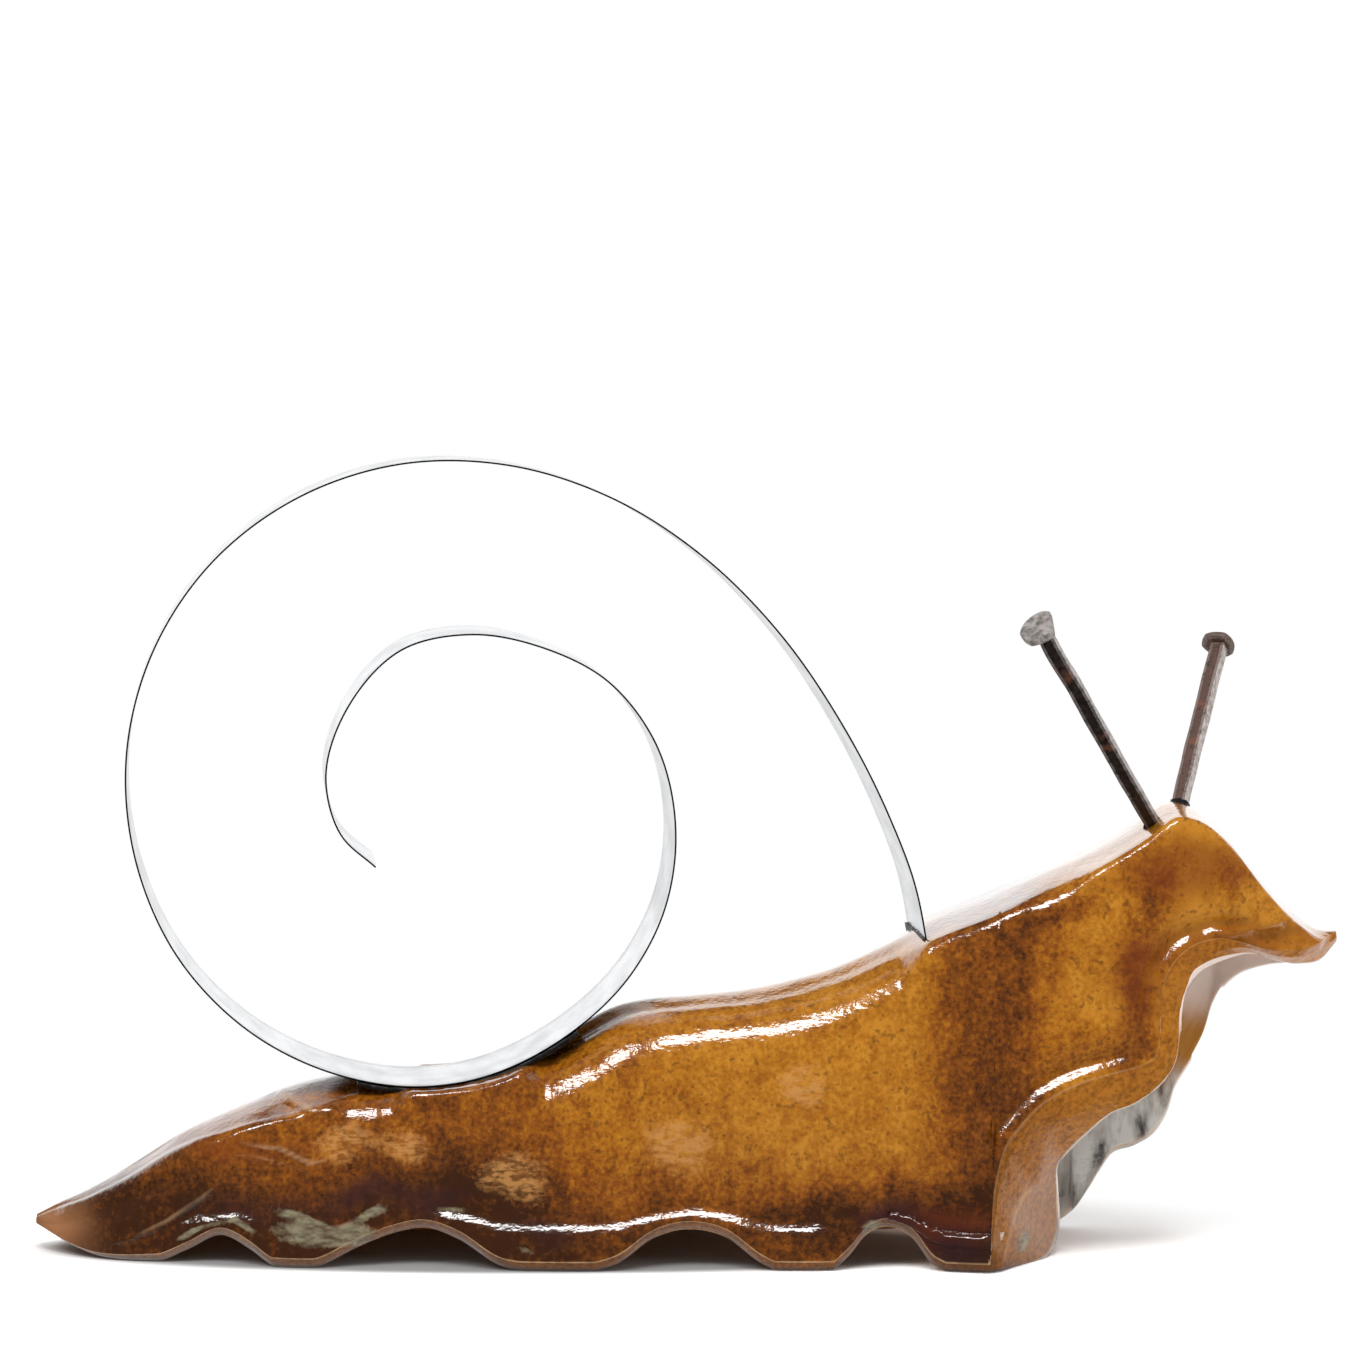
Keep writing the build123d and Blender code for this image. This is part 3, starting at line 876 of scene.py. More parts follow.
    def section(self, x: float, side_of: Face, inset: float = 0.0) -> Trace:
        """Half of the section across the body, from the ridge to the hem's arris.

        Args:
            x: Place along the body.
            side_of: Which side of the body.
            inset: How far inside the outer surface it lies.

        Returns:
            The half width and height, keyed from 0 at the ridge to 1 at the hem.
        """
        known = self.sections.get((x, side_of, inset))
        if known:
            return known
        key = (x, side_of, inset)
        top, side, hem = self.stations.at(x)
        radius, crown = self.shoulders.at(x)
        lift = self.lift(x, side_of)
        inset = min(inset, side * 0.6, (top - lift) * 0.4)
        small = min((top - lift) / self.full_height, 1.0)
        rise = self.arris_rise * small
        foot = (hem - self.arris_inset * small, lift) if inset else (hem, lift + rise)
        bend = self.skirt_bend * small
        turn = self.skirt_turn * small
        steep = math.radians(self.slopes.at(x).x)
        calm = min(self.skirt_calm, steep * 0.8)
        flat_drop = self.skirt_flat * small * math.cos(steep)
        drop = turn * (math.sin(steep) - math.sin(calm)) + flat_drop
        lowest = lift + rise + drop + 0.5 * MM * small
        skirt = max(self.skirt_height * small + lift * self.skirt_follow, lowest)
        slide = (skirt - drop - foot[1]) * math.tan(calm)
        edge = foot[0] - slide - turn * (math.cos(calm) - math.cos(steep))
        waist = edge - self.skirt_flat * small * math.sin(steep) - bend * (1 - math.cos(steep))
        radius = max(min(radius, side * 0.8, (top - skirt) * 0.6), 1 * MM * small)
        curl = max(radius - inset * 0.6, radius * 0.3)
        wall = side - self.batter * small - inset
        flat = wall - curl
        shelf = top - inset - crown
        points = [(-flat * 0.6, shelf + crown * 0.55), (0.0, top - inset), (flat * 0.6, shelf + crown * 0.55)]
        points.append((flat, shelf))
        for angle in (math.pi / 8, math.pi / 4, math.pi * 3 / 8, math.pi / 2):
            points.append((flat + curl * math.sin(angle), shelf - curl * (1 - math.cos(angle))))
        start = skirt + bend * math.sin(steep)
        points.append(((wall + waist) / 2 + self.belly * small, (shelf - curl + start) / 2))
        for part in (0.06, 0.35, 0.68, 1.0):
            angle = steep * part
            up = skirt + bend * (math.sin(steep) - math.sin(angle))
            points.append((waist + bend * (1 - math.cos(angle)), up))
        for angle in (steep, steep * 0.55 + calm * 0.45, calm):
            across = foot[0] - slide - turn * (math.cos(calm) - math.cos(angle))
            points.append((across, skirt - flat_drop - turn * (math.sin(steep) - math.sin(angle))))
        half = [Vector(point) for point in (*points, foot)]
        running = [0.0]
        for before, after in zip(half, half[1:]):
            running.append(running[-1] + max((after - before).length, 0.01 * MM))
        begin = running[1]
        self.sections[key] = Trace([(length - begin) / (running[-1] - begin) for length in running], half)
        return self.sections[key]

    def on_surface(self, x: float, down: float, side: Face, inset: float = 0.0) -> Vector:
        """Point at a share of the way down one side, on the outer surface or at an inset from it."""
        half = self.section(x, side, inset).at(down)
        return Vector((x, side.value * max(half.x, 0.0), half.y))

    def way_down(self, x: float, height: float) -> float:
        """Find a height on the section.

        Args:
            x: Place along the body.
            height: The height.

        Returns:
            Share of the way from the ridge to the hem at which the surface has it.
        """
        curve = self.section(x, Face.NEAR)
        low, high = 0.0, 1.0
        for _ in range(24):
            middle = (low + high) / 2
            low, high = (middle, high) if curve.at(middle).y > height else (low, middle)
        return low

    def column_end(self, x: float, side: Face) -> tuple[float, float, Vector, Vector]:
        """Where a column that starts at the ridge meets the edge of the slab.

        Args:
            x: Place of its top along the ridge.
            side: Which side it runs down.

        Returns:
            Its foot's place along the body, its share of the way down, the middle of the slab's cut
            edge and the inner arris.
        """
        arris, fold, lip = self.rims[side]
        split = arris.rows[0].x
        if x <= split:
            outer = self.on_surface(x, 1.0, side)
            hem = self.stations.at(x).z
            across = side.value * (hem - min(self.arris_inset, hem * 0.5))
            inner = Vector((x, across, min(self.lift(x, side), outer.z)))
            middle = (outer + inner) / 2 + Vector((0.0, side.value, -0.6)) * self.edge_swell
            middle.z = max(middle.z, 0.0)
            return x, 1.0, middle, inner
        share = (x - split) / (self.nose - split)
        edge = arris.at(share)
        return edge.x, self.way_down(edge.x, edge.y), fold.at(share), lip.at(share)

    def groove(self, place: Vector) -> float:
        """How far the near side is drawn in behind the front lip.

        Args:
            place: Point of the outer surface.

        Returns:
            The depth there.
        """
        flat = Vector((place.x, place.z, 0.0))
        gap = self.edge.find(flat)[2]
        strength = between(place.z, 12, 37) * (1 - between(place.x, 278, 298))
        strength *= 1 - bell((flat - self.corner).length, self.corner_reach)
        dip = bell(gap - self.groove_place, self.groove_width)
        swell = bell(gap - 2.8 * self.groove_place, 2 * self.groove_width)
        return strength * self.groove_depth * (dip - 0.25 * swell)

    def half_column(self, x: float, side: Face) -> tuple[list[Vector], list[Vector], list[Vector]]:
        """Points down one side of a column, outside, across the cut edge and inside.

        Args:
            x: Place of its top along the ridge.
            side: Which side it runs down.

        Returns:
            Outer points from the ridge to the arris, cut edge's points, and inner points from the ridge.
        """
        foot, down, middle, inner_end = self.column_end(x, side)
        thin = ease((x + BODY_LENGTH / 2) / self.tail_taper) * ease((self.nose - x) / self.nose_taper)

        def walk(rows: int, crowding: float, inset: float) -> tuple[list[float], list[Vector]]:
            """Shares of the way down, closer towards the edge, and the points at them."""
            parts = [1 - (1 - row / rows) ** crowding for row in range(rows + 1)]
            places = [(x + (foot - x) * ease(part), down * part) for part in parts]
            return parts, [self.on_surface(*place, side, inset) for place in places]

        outer = walk(self.outer_rows, 1.3, 0.0)[1]
        if x > self.groove_from and side is Face.NEAR:
            for point in outer[:-1]:
                point.y += self.groove(point)
        parts, inner = walk(self.inner_rows, 1.6, self.wall * max(thin, 0.02))
        miss = inner_end - inner[-1]
        for part, point in zip(parts, inner):
            point += miss * ease((part - 0.45) / 0.55)
        cut = [outer[-1].lerp(middle, share) for share in self.edge_shares]
        cut.append(middle)
        cut += [middle.lerp(inner_end, share) for share in self.fold_shares]
        return outer, cut, inner

    def ring(self, x: float) -> list[tuple[Vector, float, float, float, float]]:
        """Closed ring round the slab at one column.

        Args:
            x: Place of the column's top along the ridge.

        Returns:
            Each point with how much it is a painted highlight line on an arris, the lining, the cut edge and
            the front lip's painted highlight line.
        """
        front = between(x - self.near_split, 0, 10)
        edged = 0.45 + 0.55 * front
        halves = []
        for side in (Face.FAR, Face.NEAR):
            outer, cut, inner = self.half_column(x, side)
            lined = 1.0 if side is Face.FAR and x > self.rims[side][0].rows[0].x else 0.0
            folded = front * (1 - between(x, 172, 186)) if side is Face.NEAR else 0.0
            # The arris values paint pale highlight lines, and the last value paints the front lip's white
            # highlight line
            half = [(point, 0.0, 0.0, 0.0, 0.0) for point in outer[:-1]]
            half.append((outer[-1], 0.55 - 0.3 * front, 0.0, 0.5 * edged, 0.0))
            for index, point in enumerate(cut):
                creased = 0.3 * folded if index == len(self.edge_shares) else 0.0
                half.append((point, creased, lined, (1.0 - lined) * edged, 0.0))
            # The front lip's inner edge gets the painted highlight line
            half.append((inner[-1], 0.4 + 0.6 * front, 0.5, 0.5 * edged, front))
            half += [(point, 0.0, 1.0, 0.0, 0.0) for point in reversed(inner[:-1])]
            halves.append(half)
        far, near = halves
        return far + list(reversed(near[1:-1]))

    def columns(self) -> list[float]:
        """Set out the columns.

        Returns:
            Places of their tops, from the tail to the nose.
        """
        tail = -BODY_LENGTH / 2
        split = NEAR_ARRIS_SHARES[0][0] * BODY_LENGTH
        hem = [tail + (split - tail) * step / self.hem_columns for step in range(self.hem_columns)]
        steps = range(self.front_columns + 1)
        return hem + [split + (self.nose - split) * step / self.front_columns for step in steps]

    def build(self, glaze: bpy.types.Material) -> bpy.types.Object:
        """Make the body.

        Args:
            glaze: Its finish.

        Returns:
            The finished piece.
        """
        rings = [self.ring(x) for x in self.columns()]
        around = len(rings[0])
        mesh = bmesh.new()
        bmesh.ops.create_grid(mesh, x_segments=around, y_segments=len(rings) - 1, size=1.0)
        names = ("arris", "inside", "cut", "lip", "low", "mottle", *LAYERS)
        layers = {name: mesh.verts.layers.float.new(name) for name in names}
        for vertex in mesh.verts:
            step = round((vertex.co.x + 1) / 2 * around) % around
            column = round((vertex.co.y + 1) / 2 * (len(rings) - 1))
            vertex.co, *worn = rings[column][step]
            for name, value in zip(names, worn):
                vertex[layers[name]] = value
        bmesh.ops.remove_doubles(mesh, verts=mesh.verts, dist=0.02 * MM)
        bmesh.ops.dissolve_degenerate(mesh, edges=mesh.edges, dist=0.01 * MM)
        if mesh.calc_volume(signed=True) < 0:
            bmesh.ops.reverse_faces(mesh, faces=mesh.faces)
        mesh.normal_update()
        self.knead(mesh, layers)
        self.paint(mesh, layers)
        data = to_data(mesh, "glazed_slab_body")
        return link_piece("glazed_slab_body", data, glaze, "ceramic_body")

    def knead(self, mesh: bmesh.types.BMesh, layers: dict[str, object]) -> None:
        """Give the clay its hand-made swells, ripples and creases.

        Args:
            mesh: The body's mesh.
            layers: Its painted layers by name.
        """
        shifts = {}
        for vertex in mesh.verts:
            place = vertex.co
            free = between(place.z, 4, 16) * between(BODY_LENGTH / 2 - abs(place.x), 0, 12)
            swell = wobble(place, self.swell_size, self.swell)
            shift = (swell + wobble(place, self.ripple_size, self.ripple)) * free
            if place.y < 0 and not vertex[layers["inside"]] and not vertex[layers["cut"]]:
                for crease in CREASES:
                    # A crease's pale line is painted as a highlight into the arris layer
                    rise, line = crease.lift(place)
                    shift += rise
                    vertex[layers["arris"]] = max(vertex[layers["arris"]], line)
            shifts[vertex] = shift
        for vertex, shift in shifts.items():
            vertex.co += vertex.normal * shift
            vertex.co.z = max(min(vertex.co.z, self.under_strip(vertex.co)), 0.0)

    def paint(self, mesh: bmesh.types.BMesh, layers: dict[str, object]) -> None:
        """Paint the glaze's spots, among them patches of painted reflection, and the lining's zones of painted
        reflection on the vertices.

        Args:
            mesh: The body's mesh.
            layers: Its painted layers by name.
        """
        # Vector noise is another one in each run unless it has a seed
        noise.seed_set(self.drift_seed)
        for vertex in mesh.verts:
            drift = noise.noise_vector(vertex.co / self.drift_size) * self.drift
            place = vertex.co + drift
            washes = {name: sum(spot.weight(place) for spot in spots) for name, spots in LAYERS.items()}
            # The tone is darkened towards the bottom of the side
            low_part = 1 - between(place.z, 14, 62)
            washes["tone"] += self.tones.at(vertex.co.x + drift.x * 0.5).x - self.low_tone * low_part
            for name, wash in washes.items():
                vertex[layers[name]] = min(max(wash, 0.0), 1.2)
            # Inside the front the lining is painted with reflection: pale high up, grey and white marks low
            # down
            front = between(place.x, 130, 170)
            vertex[layers["low"]] = 1 - between(place.z, 100, 122) * front
            vertex[layers["mottle"]] = front * (1 - between(place.z, 62, 84))


@dataclass
class SpiralStrip:
    """Flat steel strip bent to a spiral, standing on its edge across the back."""

    width: float = 54 * MM
    thickness: float = 0.8 * MM
    seat_depth: float = 0.4 * MM
    end_share: float = 0.790
    slot_depth: float = 14 * MM
    slot_lean_share: float = 0.12
    length: float = 54 * 40 * MM
    corner: float = 0.04 * MM
    steps: int = 460
    across_steps: int = 6

    def centre_line(self, body: SlabBody) -> Trace:
        """The strip's centre line in elevation.

        Args:
            body: The body that it sits on.

        Returns:
            Place and height, keyed by the share of the length.
        """
        seat_x = SEAT_SHARE * BODY_LENGTH
        seat_z = body.ridge(seat_x) - self.seat_depth
        slot_x = seat_x + self.end_share * SHELL_HEIGHT
        slot_z = body.ridge(slot_x)
        points = [Vector((seat_x + x * SHELL_HEIGHT, seat_z + z * SHELL_HEIGHT)) for x, z in SPIRAL_SHARES]
        points.append(Vector((slot_x, slot_z)))
        points.append(Vector((slot_x + self.slot_depth * self.slot_lean_share, slot_z - self.slot_depth)))
        return Trace(lengths_along(points), points)

    def build(self, body: SlabBody, steel: bpy.types.Material) -> bpy.types.Object:
        """Make the strip.

        Args:
            body: The body that it sits on.
            steel: Its finish.

        Returns:
            The finished piece.
        """
        line = self.centre_line(body)
        across = Vector((-math.sin(STRIP_SKEW), math.cos(STRIP_SKEW), 0.0))
        mesh = bmesh.new()
        bmesh.ops.create_grid(mesh, x_segments=self.steps, y_segments=self.across_steps, size=1.0)
        pins = mesh.loops.layers.uv.new("strip")
        for loop in (loop for face in mesh.faces for loop in face.loops):
            place = loop.vert.co
            loop[pins].uv = ((place.x + 1) / 2 * self.length, (place.y + 1) / 2 * self.width)
        for vertex in mesh.verts:
            flat = line.at((vertex.co.x + 1) / 2)
            vertex.co = Vector((flat.x, 0.0, flat.y)) + across * (vertex.co.y * self.width / 2)
        data = to_data(mesh, "spiral_shell_strip")
        strip = link_piece("spiral_shell_strip", data, steel, "spiral_band")
        gauge = strip.modifiers.new("gauge", "SOLIDIFY")
        gauge.thickness = self.thickness
        gauge.offset = 0.0
        corners = strip.modifiers.new("sheared_corners", "BEVEL")
        corners.width = self.corner
        corners.segments = 2
        corners.limit_method = "ANGLE"
        return strip


@dataclass
class ForgedNail:
    """Square forged nail that stands in the head as a tentacle."""

    name: str
    replaced: str
    place_shares: tuple[float, float]
    lean: tuple[float, float, float]
    twist: float
    length: float
    free_length: float
    head_width: float
    head_flat: float
    head_rim: float
    head_crown: float
    # Strength of the painted highlight on the faces that point right and on the head's top
    painted_highlight: tuple[float, float]
    head_side: float = 7.3 * MM
    tip_side: float = 6.8 * MM
    sinking: float = 1.5 * MM
    corner: float = 0.7 * MM
    corner_wear: float = 0.25
    rings: int = 26
    head_corners: int = 14

    def frame(self, body: SlabBody) -> Matrix:
        """Find the nail's place and turn where it leaves the body.

        Args:
            body: The body that it stands in.

        Returns:
            The matrix that puts it there.
        """
        x = self.place_shares[0] * BODY_LENGTH
        y = self.place_shares[1] * HEM_HALF_WIDTH
        base = Vector((x, y, body.ridge(x) - self.sinking))
        up = Vector(self.lean).normalized()
        level = Vector((0.0, 1.0, 0.0)).cross(up).normalized()
        level.rotate(Matrix.Rotation(self.twist, 3, up))
        turned = Matrix((level, up.cross(level), up)).transposed().to_4x4()
        return Matrix.Translation(base) @ turned

    def shank(self, mesh: bmesh.types.BMesh) -> None:
        """Add the square shank, hammered a little uneven.

        Args:
            mesh: The nail's mesh.
        """
        tip = self.free_length - self.length
        bmesh.ops.create_cube(mesh, size=1.0)
        uprights = [edge for edge in mesh.edges if abs(edge.verts[0].co.z - edge.verts[1].co.z) > 0.5]
        bmesh.ops.subdivide_edges(mesh, edges=uprights, cuts=self.rings, use_grid_fill=True)
        for vertex in mesh.verts:
            share = vertex.co.z + 0.5
            side = self.tip_side + (self.head_side - self.tip_side) * share
            height = tip + (self.free_length - tip) * share
            uneven = 1 + wobble(Vector((vertex.co.x, vertex.co.y, height / (14 * MM))), 1.0, 0.10)
            sway = wobble(Vector((7.0, 3.0, height)), 30 * MM, 0.9 * MM)
            vertex.co = Vector((vertex.co.x * side * uneven + sway, vertex.co.y * side * uneven, height))

    def head(self, mesh: bmesh.types.BMesh) -> None:
        """Add the hammered head over the shank's end.

        Args:
            mesh: The nail's mesh.
        """
        outline = []
        for step in range(self.head_corners):
            angle = math.tau * step / self.head_corners
            bump = wobble(Vector((math.cos(angle), math.sin(angle), self.length)), 0.7, 0.14)
            reach = self.head_width / 2 * (1 + bump)
            side = min(reach * math.cos(angle), self.head_flat)
            outline.append(mesh.verts.new((side, reach * math.sin(angle), self.free_length)))
        raised = bmesh.ops.extrude_face_region(mesh, geom=[mesh.faces.new(outline)])["geom"]
        corners = [item for item in raised if isinstance(item, bmesh.types.BMVert)]
        bmesh.ops.translate(mesh, verts=corners, vec=(0.0, 0.0, self.head_rim))
        lid = [item for item in raised if isinstance(item, bmesh.types.BMFace)]
        domed, flat = ((0.9, 0.75), (0.5, 0.25)), ((0.5, 0.12),)
        height = self.head_crown or self.head_rim
        for inset, rise in domed if self.head_crown else flat:
            bmesh.ops.inset_region(mesh, faces=lid, thickness=height * inset, depth=height * rise)

    def build(self, body: SlabBody, iron: bpy.types.Material) -> bpy.types.Object:
        """Make the nail.

        Args:
            body: The body that it stands in.
            iron: Its finish.

        Returns:
            The finished piece.
        """
        mesh = bmesh.new()
        self.shank(mesh)
        self.head(mesh)
        bmesh.ops.recalc_face_normals(mesh, faces=mesh.faces)
        sharp = [edge for edge in mesh.edges if edge.is_manifold and edge.calc_face_angle(0.0) > 0.5]
        bevelled = bmesh.ops.bevel(
            mesh, geom=sharp, offset=self.corner, affect="EDGES", segments=2, profile=0.5, material=-1
        )
        corner = mesh.loops.layers.float.new("corner")
        lid = [face for face in mesh.faces if face.calc_center_median().z > self.free_length + 0.2 * MM]
        for vertex in mesh.verts:
            vertex.co += vertex.normal * wobble(vertex.co, 5 * MM, 0.25 * MM)
        bmesh.ops.transform(mesh, matrix=self.frame(body), verts=mesh.verts)
        mesh.normal_update()
        # Faces that point right get a painted highlight, like the head's top; the bevels get worn edges
        highlight_faces = [face for face in mesh.faces if face.normal.x > 0.62]
        wears = ((bevelled["faces"], self.corner_wear), (highlight_faces, self.painted_highlight[0]), (lid, self.painted_highlight[1]))
        for faces, wear in wears:
            for loop in (loop for face in faces for loop in face.loops):
                loop[corner] = wear
        nail = link_piece(self.name, to_data(mesh, self.name), iron, self.replaced)
        smooth = nail.modifiers.new("hammered", "SUBSURF")
        smooth.levels = 1
        smooth.render_levels = 1
        return nail


@dataclass
class EpoxyBead:
    """Bead of adhesive, its solid made lumpy."""

    name: str
    replaced: str
    shrink: float
    grain: float = 0.9 * MM
    lump_size: float = 5 * MM
    lump: float = 0.5 * MM

    def build(self, epoxy: bpy.types.Material) -> bpy.types.Object:
        """Make the bead.

        Args:
            epoxy: Its finish.

        Returns:
            The finished piece.
        """
        mesh = bmesh.new()
        mesh.from_mesh(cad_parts[self.replaced].data)
        bmesh.ops.remove_doubles(mesh, verts=mesh.verts, dist=0.01 * MM)
        bead = link_piece(self.name, to_data(mesh, self.name), epoxy, self.replaced)
        even = bead.modifiers.new("even", "REMESH")
        even.mode = "VOXEL"
        even.voxel_size = self.grain
        bpy.context.view_layer.update()
        shaped = bpy.data.meshes.new_from_object(bead.evaluated_get(bpy.context.evaluated_depsgraph_get()))
        bead.modifiers.clear()
        mesh = bmesh.new()
        mesh.from_mesh(shaped)
        mesh.normal_update()
        for vertex in mesh.verts:
            vertex.co += vertex.normal * (wobble(vertex.co, self.lump_size, self.lump) - self.shrink)
        mesh.to_mesh(shaped)
        mesh.free()
        bead.data = shaped
        for polygon in shaped.polygons:
            polygon.use_smooth = True
        return bead


@dataclass
class Studio:
    """White studio with two long lamps above, one beside, and the camera of the photograph."""

    camera_place: Row = (0.0, -2050 * MM, 450 * MM)
    camera_pitch: float = math.radians(85)
    sensor: float = 36.0
    focal: float = 114.25
    floor_size: float = 14.0
    floor_level: float = 0.92
    world_level: float = 0.60
    horizon_level: float = 0.12
    dome_band: tuple[float, float] = (-0.05, 0.65)
    room_level: float = 0.05
    wall_level: float = 1.2
    wall_band: tuple[float, float] = (-0.05, 0.22)
    wall_top: tuple[float, float] = (0.62, 0.46)
    front_band: tuple[float, float] = (0.03, -0.07)
    # Oval under the body where the floor is painted darker for the camera as a shadow, its reach and its level
    painted_shadow_oval: tuple[float, Row] = (0.068, (0.904, 3.8, 1.0))
    painted_shadow_reach: tuple[float, float] = (0.185, 0.235)
    painted_shadow_level: float = 0.38
    open_level: float = 1.55
    shadow_oval: tuple[float, Row] = (0.05, (1.0, 2.2, 1.0))
    shadow_reach: tuple[float, float] = (0.29, 0.38)
    white: Row = (1.0, 1.0, 1.0, 1.0)

    def place_camera(self) -> None:
        """Add the camera at the photograph's place and lens."""
        data = bpy.data.cameras.new("view")
        data.sensor_width = self.sensor
        data.lens = self.focal
        data.clip_end = 60.0
        camera = bpy.data.objects.new("view", data)
        camera.location = self.camera_place
        camera.rotation_euler = (self.camera_pitch, 0.0, 0.0)
        bpy.context.scene.collection.objects.link(camera)
        bpy.context.scene.camera = camera

    def lamp(
        self, name: str, place: Row, aim: Row, size: tuple[float, float], level: float, mirrored: bool = True
    ) -> None:
        """Add a rectangular soft lamp.

        Args:
            name: Its name.
            place: Where it hangs.
            aim: What it points at.
            size: Its width and height.
            level: How bright its face is, where 1 is white.
            mirrored: Whether glossy surfaces mirror its face.
        """
        data = bpy.data.lights.new(name, "AREA")
        data.shape = "RECTANGLE"
        data.size, data.size_y = size
        data.energy = level * math.pi * size[0] * size[1]
        light = bpy.data.objects.new(name, data)
        light.location = place
        light.rotation_euler = (Vector(aim) - Vector(place)).to_track_quat("-Z", "Y").to_euler()
        light.visible_glossy = mirrored
        bpy.context.scene.collection.objects.link(light)

    def fill_world(self) -> None:
        """Light the world: white where the camera looks, darker in front of the snail than behind it."""
        world = bpy.data.worlds.new("studio")
        bpy.context.scene.world = world
        world.use_nodes = True
        world.node_tree.nodes.clear()
        add = partial(node, world)
        way = add("TexCoord", out="Generated")
        ahead, up = (add("SeparateXYZ", out=axis, Vector=way) for axis in "YZ")
        camera, glossy, through = self.rays(world)

        def band(value: Socket, limits: tuple[float, float]) -> Socket:
            """Smooth step from 0 to 1 between two limits."""
            return add("MapRange", SMOOTH, Value=value, From_Min=limits[0], From_Max=limits[1])

        wall = add("Math", TIMES, _0=band(ahead, self.wall_band), _1=band(up, self.wall_top))
        depth = add("MapRange", Value=wall, To_Min=self.room_level, To_Max=self.wall_level)
        rise = band(up, self.dome_band)
        dome = add("MapRange", Value=rise, To_Min=self.horizon_level, To_Max=self.world_level)
        even, seen, white = (
            add("Background", Color=self.white, Strength=strength) for strength in (dome, depth, 1.0)
        )
        mirrored = add("MixShader", _0=glossy, _1=even, _2=seen)
        direct = add("Math", LARGER, _0=camera, _1=through)
        add("OutputWorld", Surface=add("MixShader", _0=direct, _1=mirrored, _2=white))

    @staticmethod
    def rays(owner: Owner) -> tuple[Socket, ...]:
        """Whether a ray comes from the camera, from a glossy surface or through a clear one."""
        return tuple(
            node(owner, "LightPath", out=f"Is {kind} Ray") for kind in ("Camera", "Glossy", "Transmission")
        )

    def lay_floor(self) -> None:
        """Add the white floor, painted darker under the body as a shadow, keeping the shadow near the snail and
        plain white further off.
        """
        mesh = bmesh.new()
        bmesh.ops.create_grid(mesh, x_segments=1, y_segments=1, size=self.floor_size / 2)
        floor = bpy.data.objects.new("floor", to_data(mesh, "floor"))
        bpy.context.scene.collection.objects.link(floor)
        material = new_material("white_floor")
        add = partial(node, material)
        place = add("TexCoord", out="Object")
        camera, glossy, through = self.rays(material)

        def outwards(oval: tuple[float, Row], limits: tuple[float, float], low: float, high: float) -> Socket:
            """Smooth step between two levels from the middle of an oval on the floor outwards."""
            shift, scale = oval
            where = add("Mapping", Vector=place, Location=(shift, 0.0, 0.0), Scale=scale)
            reach = add("VectorMath", {"operation": "LENGTH"}, "Value", _0=where)
            ends = {"From_Min": limits[0], "From_Max": limits[1], "To_Min": low, "To_Max": high}
            return add("MapRange", SMOOTH, Value=reach, **ends)

        # Under the body the floor's colour is painted darker for the camera as a shadow
        painted_shadow = outwards(self.painted_shadow_oval, self.painted_shadow_reach, self.painted_shadow_level, self.open_level)
        away = outwards(self.shadow_oval, self.shadow_reach, 0.0, 1.0)
        base = add("MapRange", Value=camera, To_Min=self.floor_level, To_Max=painted_shadow)
        lit = add("BsdfPrincipled", Base_Color=base, Roughness=0.9, Specular_IOR_Level=0.0)
        depth = add("SeparateXYZ", out="Y", Vector=place)
        near, far = self.front_band
        ahead = add("MapRange", SMOOTH, Value=depth, From_Min=near, From_Max=far)
        dimmed = add("Math", TIMES, _0=ahead, _1=glossy)
        level = add("MapRange", Value=dimmed, To_Min=1.0, To_Max=self.room_level)
        white = add("Emission", Color=self.white, Strength=level)
        direct = add("Math", LARGER, _0=camera, _1=glossy)
        direct = add("Math", LARGER, _0=direct, _1=through)
        plain = add("Math", LARGER, _0=away, _1=dimmed)
        plain = add("Math", TIMES, _0=direct, _1=plain)
        add("OutputMaterial", Surface=add("MixShader", _0=plain, _1=lit, _2=white))
        floor.data.materials.append(material)

    def build(self) -> None:
        """Make the camera, lights and floor."""
        self.place_camera()
        self.fill_world()
        self.lay_floor()
        self.lamp("right_lamp", (-0.12, -0.95, 1.55), (-0.12, 0.0, 0.1), (0.86, 0.50), 11.5)
        self.lamp("left_lamp", (-1.20, -0.95, 1.55), (-0.30, 0.0, 0.1), (0.50, 0.48), 11.0)
        self.lamp("side_lamp", (1.60, -0.75, 0.45), (0.20, 0.0, 0.1), (0.70, 0.70), 4.0, False)
        bpy.context.scene.view_settings.view_transform = "Standard"


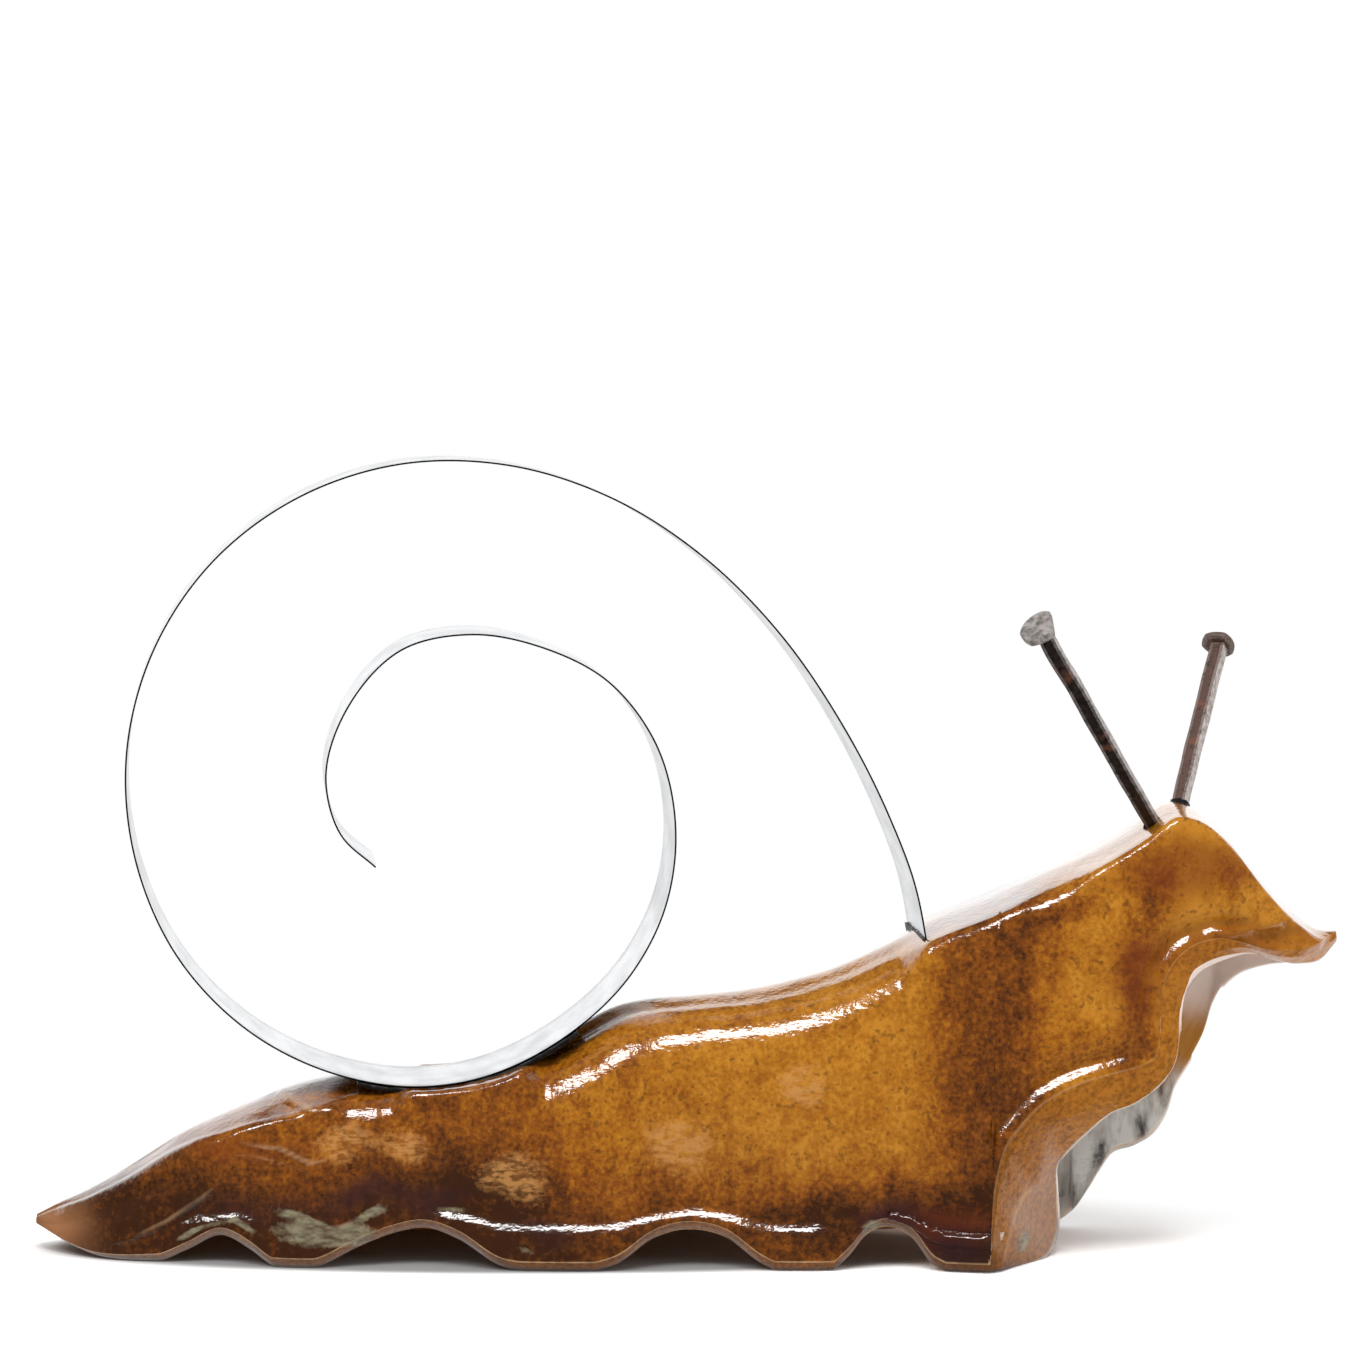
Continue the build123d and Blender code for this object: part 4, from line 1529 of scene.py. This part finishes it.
def main() -> None:
    """Build the snail and its studio in order."""
    logging.basicConfig(level=logging.INFO)
    Studio().build()
    body = SlabBody()
    body.build(AmberGlaze().make())
    SpiralStrip().build(body, RolledSteel().make())
    near = ForgedNail(
        "near_tentacle_nail",
        "near_antenna_nail",
        place_shares=(0.3555, -0.280),
        lean=(-0.450, -0.500, 0.741),
        twist=math.radians(-15),
        length=142 * MM,
        free_length=129 * MM,
        head_width=18.8 * MM,
        head_flat=6 * MM,
        head_rim=4 * MM,
        head_crown=0.0,
        painted_highlight=(0.9, 0.62),
    )
    far = ForgedNail(
        "far_tentacle_nail",
        "far_antenna_nail",
        place_shares=(0.3825, 0.345),
        lean=(0.250, 0.605, 0.703),
        twist=math.radians(-34),
        length=116 * MM,
        free_length=97 * MM,
        head_width=17 * MM,
        head_flat=17 * MM,
        head_rim=2.5 * MM,
        head_crown=4.5 * MM,
        painted_highlight=(1.0, 0.10),
    )
    near.build(body, ForgedIron().make())
    far.build(body, ForgedIron(oxide="63483F", dark="3E2C26").make())
    epoxy = BlackEpoxy().make()
    for name, shrink in (("near_nail", 0.6), ("far_nail", 1.1), ("saddle", 0.0), ("slot", 0.7)):
        EpoxyBead(f"{name}_epoxy_bead", f"{name}_adhesive", shrink * MM).build(epoxy)


if __name__ == "__main__":
    main()
